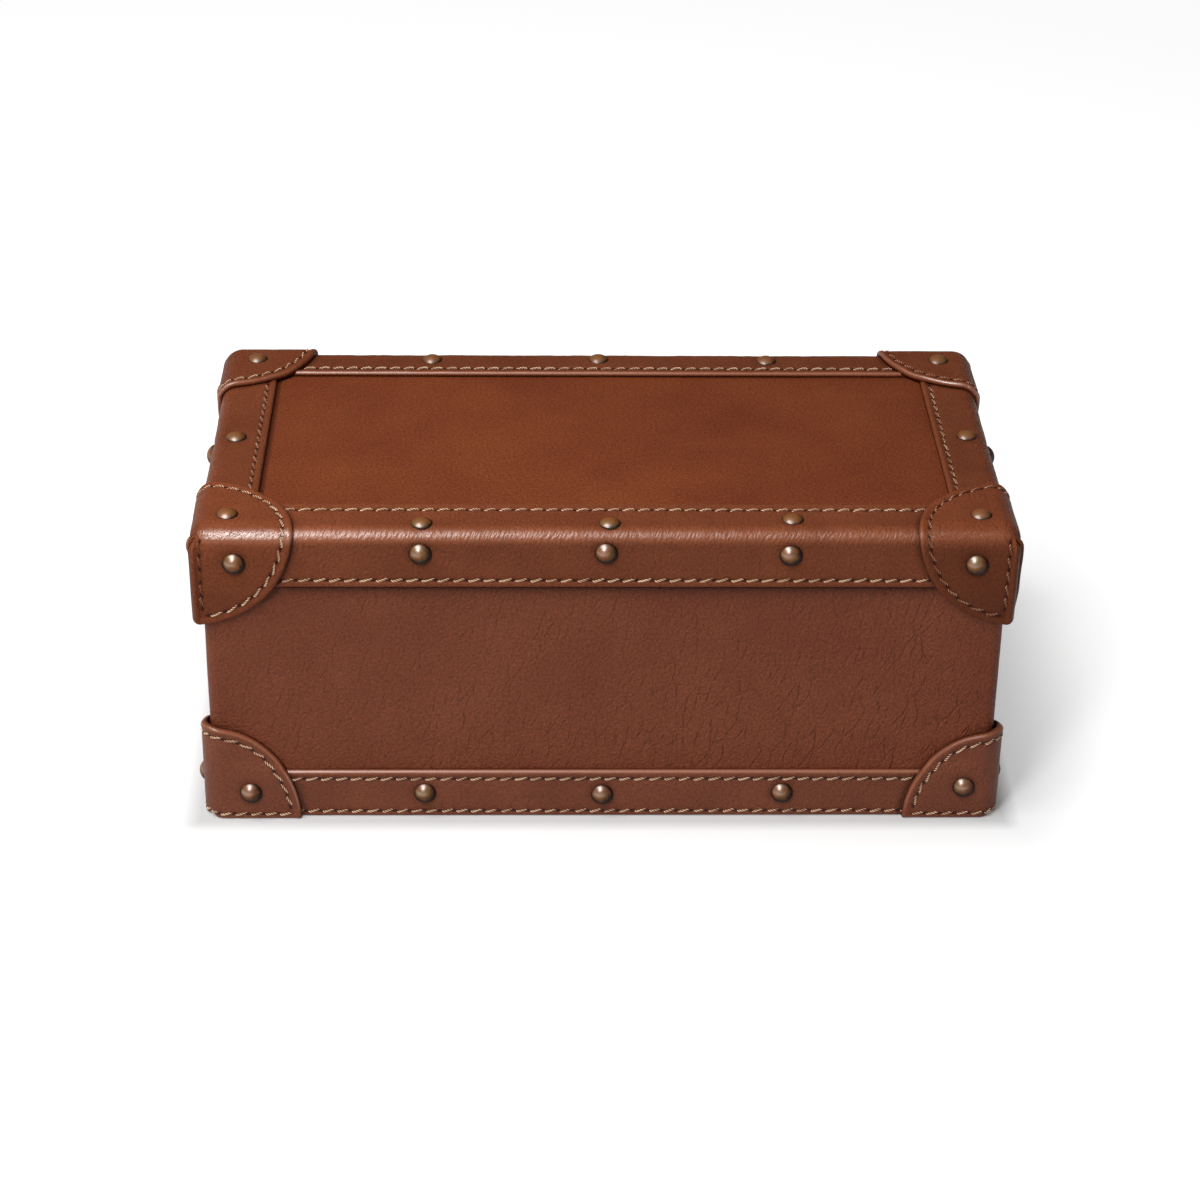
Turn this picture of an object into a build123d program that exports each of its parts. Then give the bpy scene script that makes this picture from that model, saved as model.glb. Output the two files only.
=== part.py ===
from build123d import *
import os

# Keepsake box: a wooden core covered in leather, with sewn leather bindings and corners,
# dome-headed nails, a suede-wrapped inner collar and a lid that lifts straight off.
# Frame: origin at the middle of the underside, +X to the right along the long side,
# +Y to the back, +Z up. All sizes are in millimetres.

# Boards of the core
core_width = 254.0
core_depth = 129.0
wall_board = 4.0
floor_board = 4.0
lid_board = 4.0
rebate_share = 0.5  # depth of the corner and floor rebates, of the board that holds them
base_edge_radius = 2.5
lid_edge_radius = 1.5

# Heights: the lid meets the base at the parting height and stands lid_height above it
parting_height = 86.6
lid_height = 20.4

# Leather layers, from the core outwards
cover_leather = 1.2
binding_leather = 1.3
corner_leather = 1.8
underside_sheet = 1.2
back_seam_gap = 0.3  # butt joint of the wrapped wall leather, in the middle of the back
turned_edge_radius = 0.6
turned_edge_share = 0.45  # the most of a layer that its rounded edge takes up

# Bindings, measured from their outer faces
lid_band_width = 18.5
base_band_height = 17.3

# Leather corners, measured from their outer corner point
lid_corner_reach = 34.0
base_corner_reach = 33.0
corner_seam_gap = 0.4  # where a lid corner's two flaps meet down the upright edge

# Inner collar and linings
collar_board = 2.5
collar_headroom = 1.7
collar_edge_radius = 0.8
lid_slide_clearance = 0.4
skirt_lining = 0.6
lid_lining = 1.2
floor_pad = 2.0
floor_pad_clearance = 0.2

# Dome-headed nails
nail_head_radius = 3.65
nail_head_height = 1.5
nail_rim_height = 0.3
nail_shank_radius = 0.9
nail_point_length = 1.0
nail_hole_clearance = 0.05
nail_bite_share = 0.7  # how far a shank goes into the board that holds it
skirt_nail_inset = 7.6  # from the lid's top to the row of nails in its skirt
top_nail_inset = 6.9  # from the lid's outer face to the row of nails on its top
flap_nail_inset = 11.2  # from the bindings' edges to a nail in a corner's upright flap
lobe_nail_inset = 9.7  # from the bindings' faces to a nail in a corner's top lobe
long_side_nail_count = 5
short_side_nail_count = 3

cut_overrun = 2.0

# Sizes that follow from the ones above
half_width = core_width / 2
half_depth = core_depth / 2
skirt_board = wall_board - skirt_lining - lid_slide_clearance
binding_face = cover_leather + binding_leather
corner_face = binding_face + corner_leather
lid_top = parting_height + lid_height
lid_board_top = lid_top - binding_face
lid_board_bottom = lid_board_top - lid_board
lid_lining_bottom = lid_board_bottom - lid_lining
floor_top = underside_sheet + floor_board
collar_top = lid_lining_bottom - collar_headroom
nail_bite = nail_bite_share * skirt_board
lid_corner_tip = lid_board_top + corner_face - lid_corner_reach

sides = {"front": (0, -1), "back": (0, 1), "left": (-1, 0), "right": (1, 0)}
corners = {
    "front_left": (-1, -1),
    "front_right": (1, -1),
    "back_left": (-1, 1),
    "back_right": (1, 1),
}


def slab(low, high):
    size = [top - bottom for bottom, top in zip(low, high)]
    return Pos(*low) * Box(*size, align=(Align.MIN, Align.MIN, Align.MIN))


def centred_slab(half_x, half_y, bottom, top):
    return slab((-half_x, -half_y, bottom), (half_x, half_y, top))


def base_layer(offset, bottom, top):
    # The base's plan grown by offset, with its upright edges rounded
    block = centred_slab(half_width + offset, half_depth + offset, bottom, top)
    return fillet(block.edges().filter_by(Axis.Z), base_edge_radius + offset)


def lid_layer(offset, bottom):
    # The lid's outside grown by offset, with its upright and top edges rounded
    block = centred_slab(half_width + offset, half_depth + offset, bottom, lid_board_top + offset)
    top_edges = block.edges().group_by(Axis.Z)[-1]
    return fillet(block.edges().filter_by(Axis.Z) + top_edges, lid_edge_radius + offset)


def round_limit(layer):
    return min(turned_edge_radius, turned_edge_share * layer)


def mitre_sector(side, bottom, top):
    # The wedge of the plan that belongs to one side, cut at 45 degrees from the corners
    away_x, away_y = sides[side]
    far_x = half_width + corner_face + cut_overrun
    far_y = half_depth + corner_face + cut_overrun
    ridge = far_x - far_y
    if away_x:
        points = [(away_x * far_x, -far_y), (away_x * far_x, far_y), (away_x * ridge, 0)]
    else:
        points = [(-far_x, away_y * far_y), (far_x, away_y * far_y), (ridge, 0), (-ridge, 0)]
    wedge = extrude(make_face(Polyline(*points, close=True)), top - bottom, dir=(0, 0, 1))
    return Pos(0, 0, bottom) * wedge


def wall_boards(thickness, bottom, top, core):
    # Long boards run the full width, and the end boards sit in rebates near their ends
    rebate = rebate_share * thickness
    end_reach = half_depth - thickness + rebate
    boards = {}
    for name in ("left", "right"):
        away = sides[name][0]
        end = centred_slab(thickness / 2, end_reach, bottom, top)
        boards[name] = Pos(away * (half_width - thickness / 2), 0, 0) * end & core
    for name in ("front", "back"):
        away = sides[name][1]
        long_board = centred_slab(half_width, thickness / 2, bottom, top)
        long_board = Pos(0, away * (half_depth - thickness / 2), 0) * long_board & core
        boards[name] = long_board - boards["left"] - boards["right"]
    return boards


def inner_plates(outer_x, outer_y, thickness, bottom, top):
    # Four plates against the inside of a rectangle: the long ones run through
    plates = {}
    for name, (away_x, away_y) in sides.items():
        if away_y:
            plate = centred_slab(outer_x, thickness / 2, bottom, top)
            plates[name] = Pos(0, away_y * (outer_y - thickness / 2), 0) * plate
        else:
            plate = centred_slab(thickness / 2, outer_y - thickness, bottom, top)
            plates[name] = Pos(away_x * (outer_x - thickness / 2), 0, 0) * plate
    return plates


def dome_nail(leather):
    # A nail standing along +Z, with the leather face that it is driven through at zero height
    length = leather + nail_bite
    rim = (nail_head_radius, nail_rim_height)
    crown = (0, nail_head_height)
    rise = nail_head_height - nail_rim_height
    dome_radius = (nail_head_radius**2 + rise**2) / (2 * rise)
    dome = RadiusArc(rim, crown, -dome_radius)
    outline = Polyline(
        crown,
        (0, -length),
        (nail_shank_radius, nail_point_length - length),
        (nail_shank_radius, 0),
        (nail_head_radius, 0),
        rim,
    )
    return revolve(Plane.XZ * make_face([dome, outline]), Axis.Z)


def nail_hole(leather):
    depth = leather + nail_bite + nail_hole_clearance
    hole = Cylinder(
        nail_shank_radius + nail_hole_clearance,
        depth + cut_overrun,
        align=(Align.CENTER, Align.CENTER, Align.MIN),
    )
    return Pos(0, 0, -depth) * hole


def row_of_places(half_length, nail_count):
    # Evenly spaced places along a side; the first and last are in the leather corners
    reach = half_length + binding_face - flap_nail_inset
    return [reach * (2 * step / (nail_count - 1) - 1) for step in range(nail_count)]


def nail_planes(side, edge_height, corner_height):
    # Where the nails of one upright face stand: plane and thickness of leather under each head
    away_x, away_y = sides[side]
    long_side = away_y != 0
    if long_side:
        places = row_of_places(half_width, long_side_nail_count)
    else:
        places = row_of_places(half_depth, short_side_nail_count)
    face = half_depth if long_side else half_width
    planes = []
    for place in places:
        in_corner = place in (places[0], places[-1])
        leather = corner_face if in_corner else binding_face
        height = corner_height if in_corner else edge_height
        stand_off = face + leather
        spot = (place, away_y * stand_off, height) if long_side else (away_x * stand_off, place, height)
        planes.append((Plane(spot, z_dir=(away_x, away_y, 0)), leather))
    return planes


def lid_top_planes():
    planes = []
    corner_x = half_width + binding_face - lobe_nail_inset
    corner_y = half_depth + binding_face - lobe_nail_inset
    edge_x = half_width + binding_face - top_nail_inset
    edge_y = half_depth + binding_face - top_nail_inset
    long_row = row_of_places(half_width, long_side_nail_count)[1:-1]
    short_row = row_of_places(half_depth, short_side_nail_count)[1:-1]
    spots = [(x, away * edge_y) for x in long_row for away in (-1, 1)]
    spots += [(away * edge_x, y) for y in short_row for away in (-1, 1)]
    for x, y in spots:
        planes.append((Plane((x, y, lid_top)), binding_face))
    for away_x, away_y in corners.values():
        spot = (away_x * corner_x, away_y * corner_y, lid_top + corner_leather)
        planes.append((Plane(spot), corner_face))
    return planes


def nails_on(planes):
    return Compound(children=[plane * dome_nail(leather) for plane, leather in planes])


def drilled(solid, planes):
    # Takes out the nail holes that reach into a solid
    box = solid.bounding_box()
    for plane, leather in planes:
        hole = plane * nail_hole(leather)
        room = hole.bounding_box()
        apart = any(
            getattr(room.max, k) < getattr(box.min, k) or getattr(room.min, k) > getattr(box.max, k)
            for k in "XYZ"
        )
        if not apart:
            solid = solid - hole
    return solid


def save(name, shape):
    export_step(shape, os.path.join("parts", name + ".step"))


def outline_edges(solid):
    # The edges of the round cut that gives a leather corner its outline
    ball = solid.faces().filter_by(GeomType.SPHERE).sort_by(SortBy.AREA)[-1]
    return [edge for edge in ball.edges() if edge.position_at(0.5).Z > turned_edge_radius]


def at_four_corners(front_right):
    left = mirror(front_right, about=Plane.YZ)
    return {
        "front_right": front_right,
        "front_left": left,
        "back_right": mirror(front_right, about=Plane.XZ),
        "back_left": mirror(left, about=Plane.XZ),
    }


# Base: boards, wall leather and underside
base_nails = {side: nail_planes(side, base_band_height / 2, flap_nail_inset) for side in sides}
all_base_nails = [place for places in base_nails.values() for place in places]
base_core = base_layer(0, 0, parting_height)
rebate = rebate_share * wall_board
floor = centred_slab(
    half_width - wall_board + rebate, half_depth - wall_board + rebate, underside_sheet, floor_top
)
os.makedirs("parts", exist_ok=True)
save("base_floor_board", floor)
for side, board in wall_boards(
    wall_board, underside_sheet, parting_height - cover_leather, base_core
).items():
    save(f"base_{side}_board", drilled(board - floor, all_base_nails))
save("base_underside_sheet", base_layer(0, 0, underside_sheet))


def base_wall_leather():
    # One strip wrapped round the four walls and turned over their top edges, butted at the back
    wrap = base_layer(cover_leather, 0, parting_height)
    wrap -= base_layer(0, -cut_overrun, parting_height - cover_leather)
    wrap -= centred_slab(
        half_width - wall_board, half_depth - wall_board, 0, parting_height + cut_overrun
    )
    seam_start = half_depth - wall_board - cut_overrun
    seam_end = half_depth + cover_leather + cut_overrun
    wrap -= slab(
        (-back_seam_gap / 2, seam_start, -cut_overrun),
        (back_seam_gap / 2, seam_end, parting_height + cut_overrun),
    )
    return drilled(wrap, all_base_nails)


save("base_wall_leather", base_wall_leather())


# Base: bindings round the foot and leather corners over them
def base_binding():
    band = base_layer(binding_face, 0, base_band_height)
    band = fillet(band.edges().group_by(Axis.Z)[-1], round_limit(binding_leather))
    return band - base_layer(cover_leather, -cut_overrun, base_band_height + cut_overrun)


def base_corner():
    # One piece bent round the upright edge, with a round upper outline
    spot = (half_width + corner_face, -half_depth - corner_face, 0)
    shell = base_layer(corner_face, 0, base_corner_reach + cut_overrun)
    shell &= Pos(*spot) * Sphere(base_corner_reach)
    shell = fillet(outline_edges(shell), round_limit(corner_leather))
    return shell - base_layer(binding_face, -cut_overrun, base_corner_reach + cut_overrun)


base_band = base_binding()
for side in sides:
    strip = base_band & mitre_sector(side, -cut_overrun, base_band_height + cut_overrun)
    save(f"base_{side}_binding", drilled(strip, all_base_nails))
for corner, piece in at_four_corners(base_corner()).items():
    save(f"base_{corner}_corner", drilled(piece, all_base_nails))
for side, places in base_nails.items():
    save(f"base_{side}_nails", nails_on(places))

# Base: the suede-wrapped collar that holds the lid in place, and the floor pad inside it
for side, plate in inner_plates(
    half_width - wall_board, half_depth - wall_board, collar_board, floor_top, collar_top
).items():
    top_face = plate.faces().sort_by(Axis.Z)[-1]
    long_edges = top_face.edges().sort_by(SortBy.LENGTH)[-2:]
    save(f"collar_{side}_panel", fillet(long_edges, collar_edge_radius))
pad_inset = wall_board + collar_board + floor_pad_clearance
save(
    "base_floor_pad",
    centred_slab(half_width - pad_inset, half_depth - pad_inset, floor_top, floor_top + floor_pad),
)

# Lid: boards and the leather that covers them and turns under the rim
lid_nails = {
    side: nail_planes(side, lid_top - skirt_nail_inset, lid_top - flap_nail_inset) for side in sides
}
top_nails = lid_top_planes()
all_lid_nails = top_nails + [place for places in lid_nails.values() for place in places]
lid_core = lid_layer(0, parting_height)
lid_panel = centred_slab(half_width, half_depth, lid_board_bottom, lid_board_top) & lid_core
save("lid_top_board", drilled(lid_panel, all_lid_nails))
rim_board_height = parting_height + cover_leather
for side, board in wall_boards(skirt_board, rim_board_height, lid_board_bottom, lid_core).items():
    save(f"lid_{side}_board", drilled(board, all_lid_nails))


def lid_leather():
    cover = lid_layer(cover_leather, parting_height)
    cover -= lid_core & centred_slab(half_width, half_depth, rim_board_height, lid_top)
    cover -= centred_slab(
        half_width - skirt_board, half_depth - skirt_board, 0, lid_board_bottom
    )
    return drilled(cover, all_lid_nails)


save("lid_leather", lid_leather())


# Lid: bindings over the shoulder, and the leather corners over them
def lid_binding(band, side):
    strip = band & mitre_sector(side, 0, lid_top + cut_overrun)
    along = Axis.X if sides[side][1] else Axis.Y
    lines = strip.edges().filter_by(along).group_by(Axis.Z)
    outward = Vector(*sides[side], 0)
    inner_edge = sorted(lines[-1], key=lambda edge: edge.center().dot(outward))[0]
    rim_edge = sorted(lines[0], key=lambda edge: edge.center().dot(outward))[-1]
    return fillet([inner_edge, rim_edge], round_limit(binding_leather))


def lid_corner():
    # Top lobe and two flaps that hang past the rim, parted by a seam down the upright edge
    spot = (half_width + corner_face, -half_depth - corner_face, lid_board_top + corner_face)
    shell = lid_layer(corner_face, lid_corner_tip - cut_overrun) & Pos(*spot) * Sphere(lid_corner_reach)
    shell = fillet(outline_edges(shell), round_limit(corner_leather))
    shell -= lid_layer(binding_face, lid_corner_tip - 2 * cut_overrun)
    seam_length = lid_edge_radius + corner_face + cut_overrun
    seam = slab(
        (0, -corner_seam_gap / 2, lid_corner_tip - cut_overrun),
        (seam_length, corner_seam_gap / 2, lid_board_top - lid_edge_radius),
    )
    turn = Rot(0, 0, -45)
    return shell - Pos(half_width - lid_edge_radius, lid_edge_radius - half_depth, 0) * turn * seam


lid_band = lid_layer(binding_face, parting_height) - lid_layer(cover_leather, parting_height - cut_overrun)
lid_band -= centred_slab(
    half_width + binding_face - lid_band_width,
    half_depth + binding_face - lid_band_width,
    parting_height,
    lid_top + cut_overrun,
)
for side in sides:
    save(f"lid_{side}_binding", drilled(lid_binding(lid_band, side), all_lid_nails))
for corner, piece in at_four_corners(lid_corner()).items():
    save(f"lid_{corner}_corner", drilled(piece, all_lid_nails))
save("lid_top_nails", nails_on(top_nails))
for side, places in lid_nails.items():
    save(f"lid_{side}_nails", nails_on(places))

# Lid: suede linings
save(
    "lid_top_lining",
    centred_slab(half_width - skirt_board, half_depth - skirt_board, lid_lining_bottom, lid_board_bottom),
)
for side, plate in inner_plates(
    half_width - skirt_board, half_depth - skirt_board, skirt_lining, parting_height, lid_lining_bottom
).items():
    save(f"lid_{side}_lining", plate)
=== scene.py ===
import bpy
import math
import numpy as np
from mathutils import Matrix, Vector


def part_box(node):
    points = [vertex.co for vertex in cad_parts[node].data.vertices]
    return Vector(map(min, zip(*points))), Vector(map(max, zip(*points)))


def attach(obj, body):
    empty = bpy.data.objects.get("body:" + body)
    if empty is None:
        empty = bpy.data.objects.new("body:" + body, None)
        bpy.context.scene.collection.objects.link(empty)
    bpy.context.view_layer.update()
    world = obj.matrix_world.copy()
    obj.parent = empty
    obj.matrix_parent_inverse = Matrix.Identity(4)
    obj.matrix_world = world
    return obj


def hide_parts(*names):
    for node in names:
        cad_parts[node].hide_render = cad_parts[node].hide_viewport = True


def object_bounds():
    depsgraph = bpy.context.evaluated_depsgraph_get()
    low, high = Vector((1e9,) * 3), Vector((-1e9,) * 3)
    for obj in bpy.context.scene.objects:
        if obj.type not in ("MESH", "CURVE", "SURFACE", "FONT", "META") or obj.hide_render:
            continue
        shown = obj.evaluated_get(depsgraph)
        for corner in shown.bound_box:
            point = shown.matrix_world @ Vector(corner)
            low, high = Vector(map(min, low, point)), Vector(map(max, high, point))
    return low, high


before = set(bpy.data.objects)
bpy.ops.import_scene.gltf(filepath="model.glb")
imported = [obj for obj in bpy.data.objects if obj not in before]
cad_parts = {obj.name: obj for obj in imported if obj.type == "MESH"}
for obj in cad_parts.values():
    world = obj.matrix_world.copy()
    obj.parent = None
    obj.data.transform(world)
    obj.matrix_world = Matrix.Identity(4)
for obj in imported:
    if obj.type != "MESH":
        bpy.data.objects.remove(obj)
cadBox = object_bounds()
scene = bpy.context.scene
scene.view_settings.view_transform = "Standard"
print("frame loaded:", len(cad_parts), "solid nodes")

mm = 0.001  # pieces are worked out in millimetres and written in metres
quarter = math.pi / 2  # a quarter turn
noSeam = 99.0  # distance from a seam where there is none


# Small helpers

def hexToLinear(code):  # an sRGB hex colour as a shader wants it
    parts = [int(code[i:i + 2], 16) / 255 for i in (1, 3, 5)]
    return [p / 12.92 if p <= 0.04045 else ((p + 0.055) / 1.055) ** 2.4 for p in parts] + [1.0]


def perMillimetre(size):  # pattern scale for a swell of that many millimetres
    return 1 / (size * mm)


def newMaterial(name):
    material = bpy.data.materials.new(name)
    material.use_nodes = True
    return material, material.node_tree, material.node_tree.nodes["Principled BSDF"]


def setInputs(tree, node, inputs):  # an input is a value, or a socket to link from
    for key, value in inputs.items():
        if isinstance(value, bpy.types.NodeSocket):
            tree.links.new(value, node.inputs[key])
        else:
            node.inputs[key].default_value = value


def addNode(tree, kind, settings, inputs, out=0):  # gives back one output of the new node
    node = tree.nodes.new(kind)
    for key, value in settings.items():
        setattr(node, key, value)
    setInputs(tree, node, inputs)
    return node.outputs[out]


colourMix = {"data_type": "RGBA"}  # inputs 0 share, 6 and 7 the colours; output 2
times = {"operation": "MULTIPLY"}
timesPlus = {"operation": "MULTIPLY_ADD"}
softly = {"interpolation_type": "SMOOTHSTEP"}  # a map range's inputs are value, from low, high, to low, high


def nodeBox(node):  # a solid's lowest and highest corner in millimetres
    return [np.array(corner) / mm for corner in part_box(node)]


def unit(vectors):
    return vectors / np.maximum(np.linalg.norm(vectors, axis=-1, keepdims=True), 1e-9)


def smooth(t):  # 0 to 1 with a soft start and end
    t = np.clip(t, 0, 1)
    return t * t * (3 - 2 * t)


def waves(a, b, cell, seed):  # soft unevenness from -1 to 1, about one swell to a cell
    a, b = (a * 0.966 + b * 0.259) / cell, (b * 0.966 - a * 0.259) / cell  # turned by 15 degrees
    ia, ib = np.floor(a), np.floor(b)
    fa, fb = smooth(a - ia), smooth(b - ib)

    def corner(i, j):
        return (np.sin((ia + i) * 127.1 + (ib + j) * 311.7 + seed * 74.7) * 43758.5453) % 1

    low = corner(0, 0) * (1 - fa) + corner(1, 0) * fa
    high = corner(0, 1) * (1 - fa) + corner(1, 1) * fa
    return (low * (1 - fb) + high * fb) * 2 - 1


def swells(a, b, sizes, seed):  # unevenness of several sizes: height, cell and step of the seed
    return sum(height * waves(a, b, cell, seed + step) for height, cell, step in sizes)


def spread(total, step, fine):  # places from 0 to total, closer together near the fine ones (place, reach, step)
    places = [0.0]
    while places[-1] < total:
        here = places[-1]
        near = [finer + max(0, abs(here - at) - reach) * 0.45 for at, reach, finer in fine]
        places.append(here + min([step] + near))
    return np.array(places) * total / places[-1]


def follow(distance, start, heading, legs):  # places and left-hand normals along straight and bent legs (length, turn)
    places = np.zeros(distance.shape + (2,))
    normals = np.zeros(distance.shape + (2,))
    spot, angle, done = np.array(start, float), math.radians(heading), 0.0
    for length, turn in legs:
        ahead = distance - done
        here = ahead > -1e-9
        rate = math.radians(turn) / length
        bearing, last = angle + rate * ahead, angle + rate * length
        if turn:
            run = np.stack([np.sin(bearing) - math.sin(angle), math.cos(angle) - np.cos(bearing)], -1) / rate
            end = np.array([math.sin(last) - math.sin(angle), math.cos(angle) - math.cos(last)]) / rate
        else:
            straight = np.array([math.cos(angle), math.sin(angle)])
            run, end = ahead[..., None] * straight, length * straight
        places[here] = (spot + run)[here]
        normals[here] = np.stack([-np.sin(bearing), np.cos(bearing)], -1)[here]
        spot, angle, done = spot + end, last, done + length
    return places, normals


def onSide(angle, along, out, up):  # a side's own directions to the frame's
    c, s = math.cos(math.radians(angle)), math.sin(math.radians(angle))
    along, out, up = np.broadcast_arrays(along, out, up)
    return np.stack([c * along + s * out, s * along - c * out, up], -1)


def gridFaces(rows, columns, flipped):
    index = np.arange(rows * columns).reshape(rows, columns)
    quads = np.stack([index[:-1, :-1], index[1:, :-1], index[1:, 1:], index[:-1, 1:]], -1).reshape(-1, 4)
    return quads[:, ::-1] if flipped else quads


def addPiece(name, points, faces, material, flat=None, values=None):  # a smooth mesh; corners that meet become one
    spots, first, merged = np.unique(np.round(points, 4), axis=0, return_index=True, return_inverse=True)
    corners = merged.reshape(-1)[faces]
    plain = (corners != np.roll(corners, -1, axis=1)).all(axis=1)
    shown, source = corners[plain].tolist(), faces[plain].tolist()
    for face, origin in zip(corners[~plain].tolist(), faces[~plain].tolist()):
        kept = [i for i in range(4) if face[i] != face[i - 1]]
        if len(kept) > 2:
            shown.append([face[i] for i in kept])
            source.append([origin[i] for i in kept])
    mesh = bpy.data.meshes.new(name)
    mesh.from_pydata((spots * mm).tolist(), [], shown)
    mesh.polygons.foreach_set("use_smooth", np.ones(len(mesh.polygons), bool))
    if flat is not None:
        layer = mesh.uv_layers.new(name="flatMap")
        layer.data.foreach_set("uv", (flat[np.concatenate(source)] * mm).astype(np.float32).reshape(-1))
    for key, value in (values or {}).items():
        mesh.attributes.new(key, "FLOAT", "POINT").data.foreach_set("value", value[first].astype(np.float32))
    mesh.materials.append(material)
    mesh.update()
    piece = bpy.data.objects.new(name, mesh)
    scene.collection.objects.link(piece)
    return piece


def place(piece, body, slotName, *nodes):  # the body it moves with, its finish (not used) and the solids that it stands for
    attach(piece, body)
    if nodes:
        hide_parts(*nodes)


# Sizes taken from the solids

lidLow, lidHigh = nodeBox("lid_front_binding")
bandOut = {"long": -lidLow[1], "short": nodeBox("lid_right_binding")[1][0]}  # outer faces of the bands
lidTop, lidRim = lidHigh[2], lidLow[2]
fieldTop = nodeBox("lid_leather")[1][2]
wallHigh = nodeBox("base_wall_leather")[1]
wallHalf = {"long": wallHigh[0], "short": wallHigh[1]}
baseBandTop = nodeBox("base_front_binding")[1][2]
bandThick = lidTop - fieldTop
cornerThick = nodeBox("lid_front_left_corner")[1][2] - lidTop
sides = {"front": 0, "right": 90, "back": 180, "left": 270}
cornerSigns = {"front_left": (-1, -1), "front_right": (1, -1), "back_left": (-1, 1), "back_right": (1, 1)}


# Nail places, read from the solids: one group of points to a nail

nailHead = {
    "radius": 3.65, "height": 1.5, "rise": 2.2, "sunk": 0.45, "rings": 14, "turns": 40,
    "wobble": 0.035, "wobbleMm": 2.4, "apart": 14, "near": 8,
    "flatter": {"lid_top_nails": (3.5, 1.5), "base_right_nails": (3.65, 1.7)},  # radius and rise of lower heads
    "dipTop": 0.12, "dipSide": 0.3, "dipFrom": 3.2, "dipReach": 1.5,
}
handSet = {  # nails set off their mark: x, y or height, and the shift
    "lid_top_nails": [
        (-59, -60, 0.9, -1.2), (-59, 60, 1.0, -0.4), (0, -60, 1.1, -1.2), (59, -60, 0.0, 1.4),
        (59, 60, -0.4, -0.9), (-122, 0, 1.1, -1.2), (122, 0, -0.7, 0.8), (-120, -57, 0.3, -1.6),
        (120, -57, -0.9, -1.4), (-120, 57, 1.1, -1.2), (120, 57, -1.0, -1.2)],
    "lid_front_nails": [
        (-118, 96, 1.1, 0.3), (-59, 99, 0.5, -0.7), (0, 99, 0.0, -0.4), (59, 99, -0.8, -1.1), (118, 96, -1.0, 0.1)],
    "base_front_nails": [
        (-118, 11, 2.8, -1.0), (-59, 9, 0.6, 0.3), (0, 9, -0.2, -0.3), (59, 9, 0.0, 0.3), (118, 11, 0.7, 1.0)],
}


def nailPlaces(node, outward):
    outward = np.array(outward, float)
    points = np.array([v.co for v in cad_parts[node].data.vertices]) / mm
    found = []
    while len(points):
        near = np.linalg.norm(points - points[0], axis=1) < nailHead["apart"]
        group = points[near]
        middle = (group.min(0) + group.max(0)) / 2
        crown = (group @ outward).max()
        found.append(middle + outward * (crown - nailHead["height"] - middle @ outward))
        points = points[~near]
    return found


nailNodes = {"lid_top_nails": (0, 0, 1)}
for side, angle in sides.items():
    facing = onSide(angle, 0.0, 1.0, 0.0)
    nailNodes[f"lid_{side}_nails"] = nailNodes[f"base_{side}_nails"] = tuple(facing)
nails = {node: nailPlaces(node, facing) for node, facing in nailNodes.items()}
for node, shifts in handSet.items():
    other = 1 if node == "lid_top_nails" else 2
    for x, height, shiftX, shiftOther in shifts:
        for spot in nails[node]:
            if abs(spot[0] - x) < nailHead["near"] and abs(spot[other] - height) < nailHead["near"]:
                spot[0] += shiftX
                spot[other] += shiftOther
nailSpots = np.array([spot for group in nails.values() for spot in group])
nailFacing = np.array([nailNodes[node] for node, group in nails.items() for spot in group])
print("nails found:", len(nailSpots))


def nailDips(mid, normal):  # leather pressed down round each nail head
    dip = np.zeros(mid.shape[:-1])
    for spot, facing in zip(nailSpots, nailFacing):
        away = np.maximum(np.linalg.norm(mid - spot, axis=-1) - nailHead["dipFrom"], 0)
        deep = nailHead["dipTop" if facing[2] > 0.5 else "dipSide"]
        dip -= ((normal @ facing) > 0.6) * deep * np.exp(-(away / nailHead["dipReach"]) ** 2)
    return dip


# Leather: full-grain cowhide, drum dyed chestnut, waxed and rubbed by hand.
# Seen close it has cloudy depth, fine pores, a soft satin shine on bends and darker dressed edges.

stitch = {"pitch": 4.9, "slant": 0.40, "ply": 0.175, "offset": 0.2, "lift": 0.2, "reach": 0.37, "hole": (1.0, 0.5),
          "holeDark": "#33120a", "sunk": 0.16, "groove": 0.34, "grooveWide": 0.8}
turned = {"proud": 0.26, "at": 1.35, "reach": 0.75, "over": 0.3, "rubAt": 0.5, "rubWide": 0.47}
leatherMarks = ("stitchAlong", "stitchAcross", "edgeDistance", "relief", "bend", "burnish", "tone", "worn")


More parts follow.
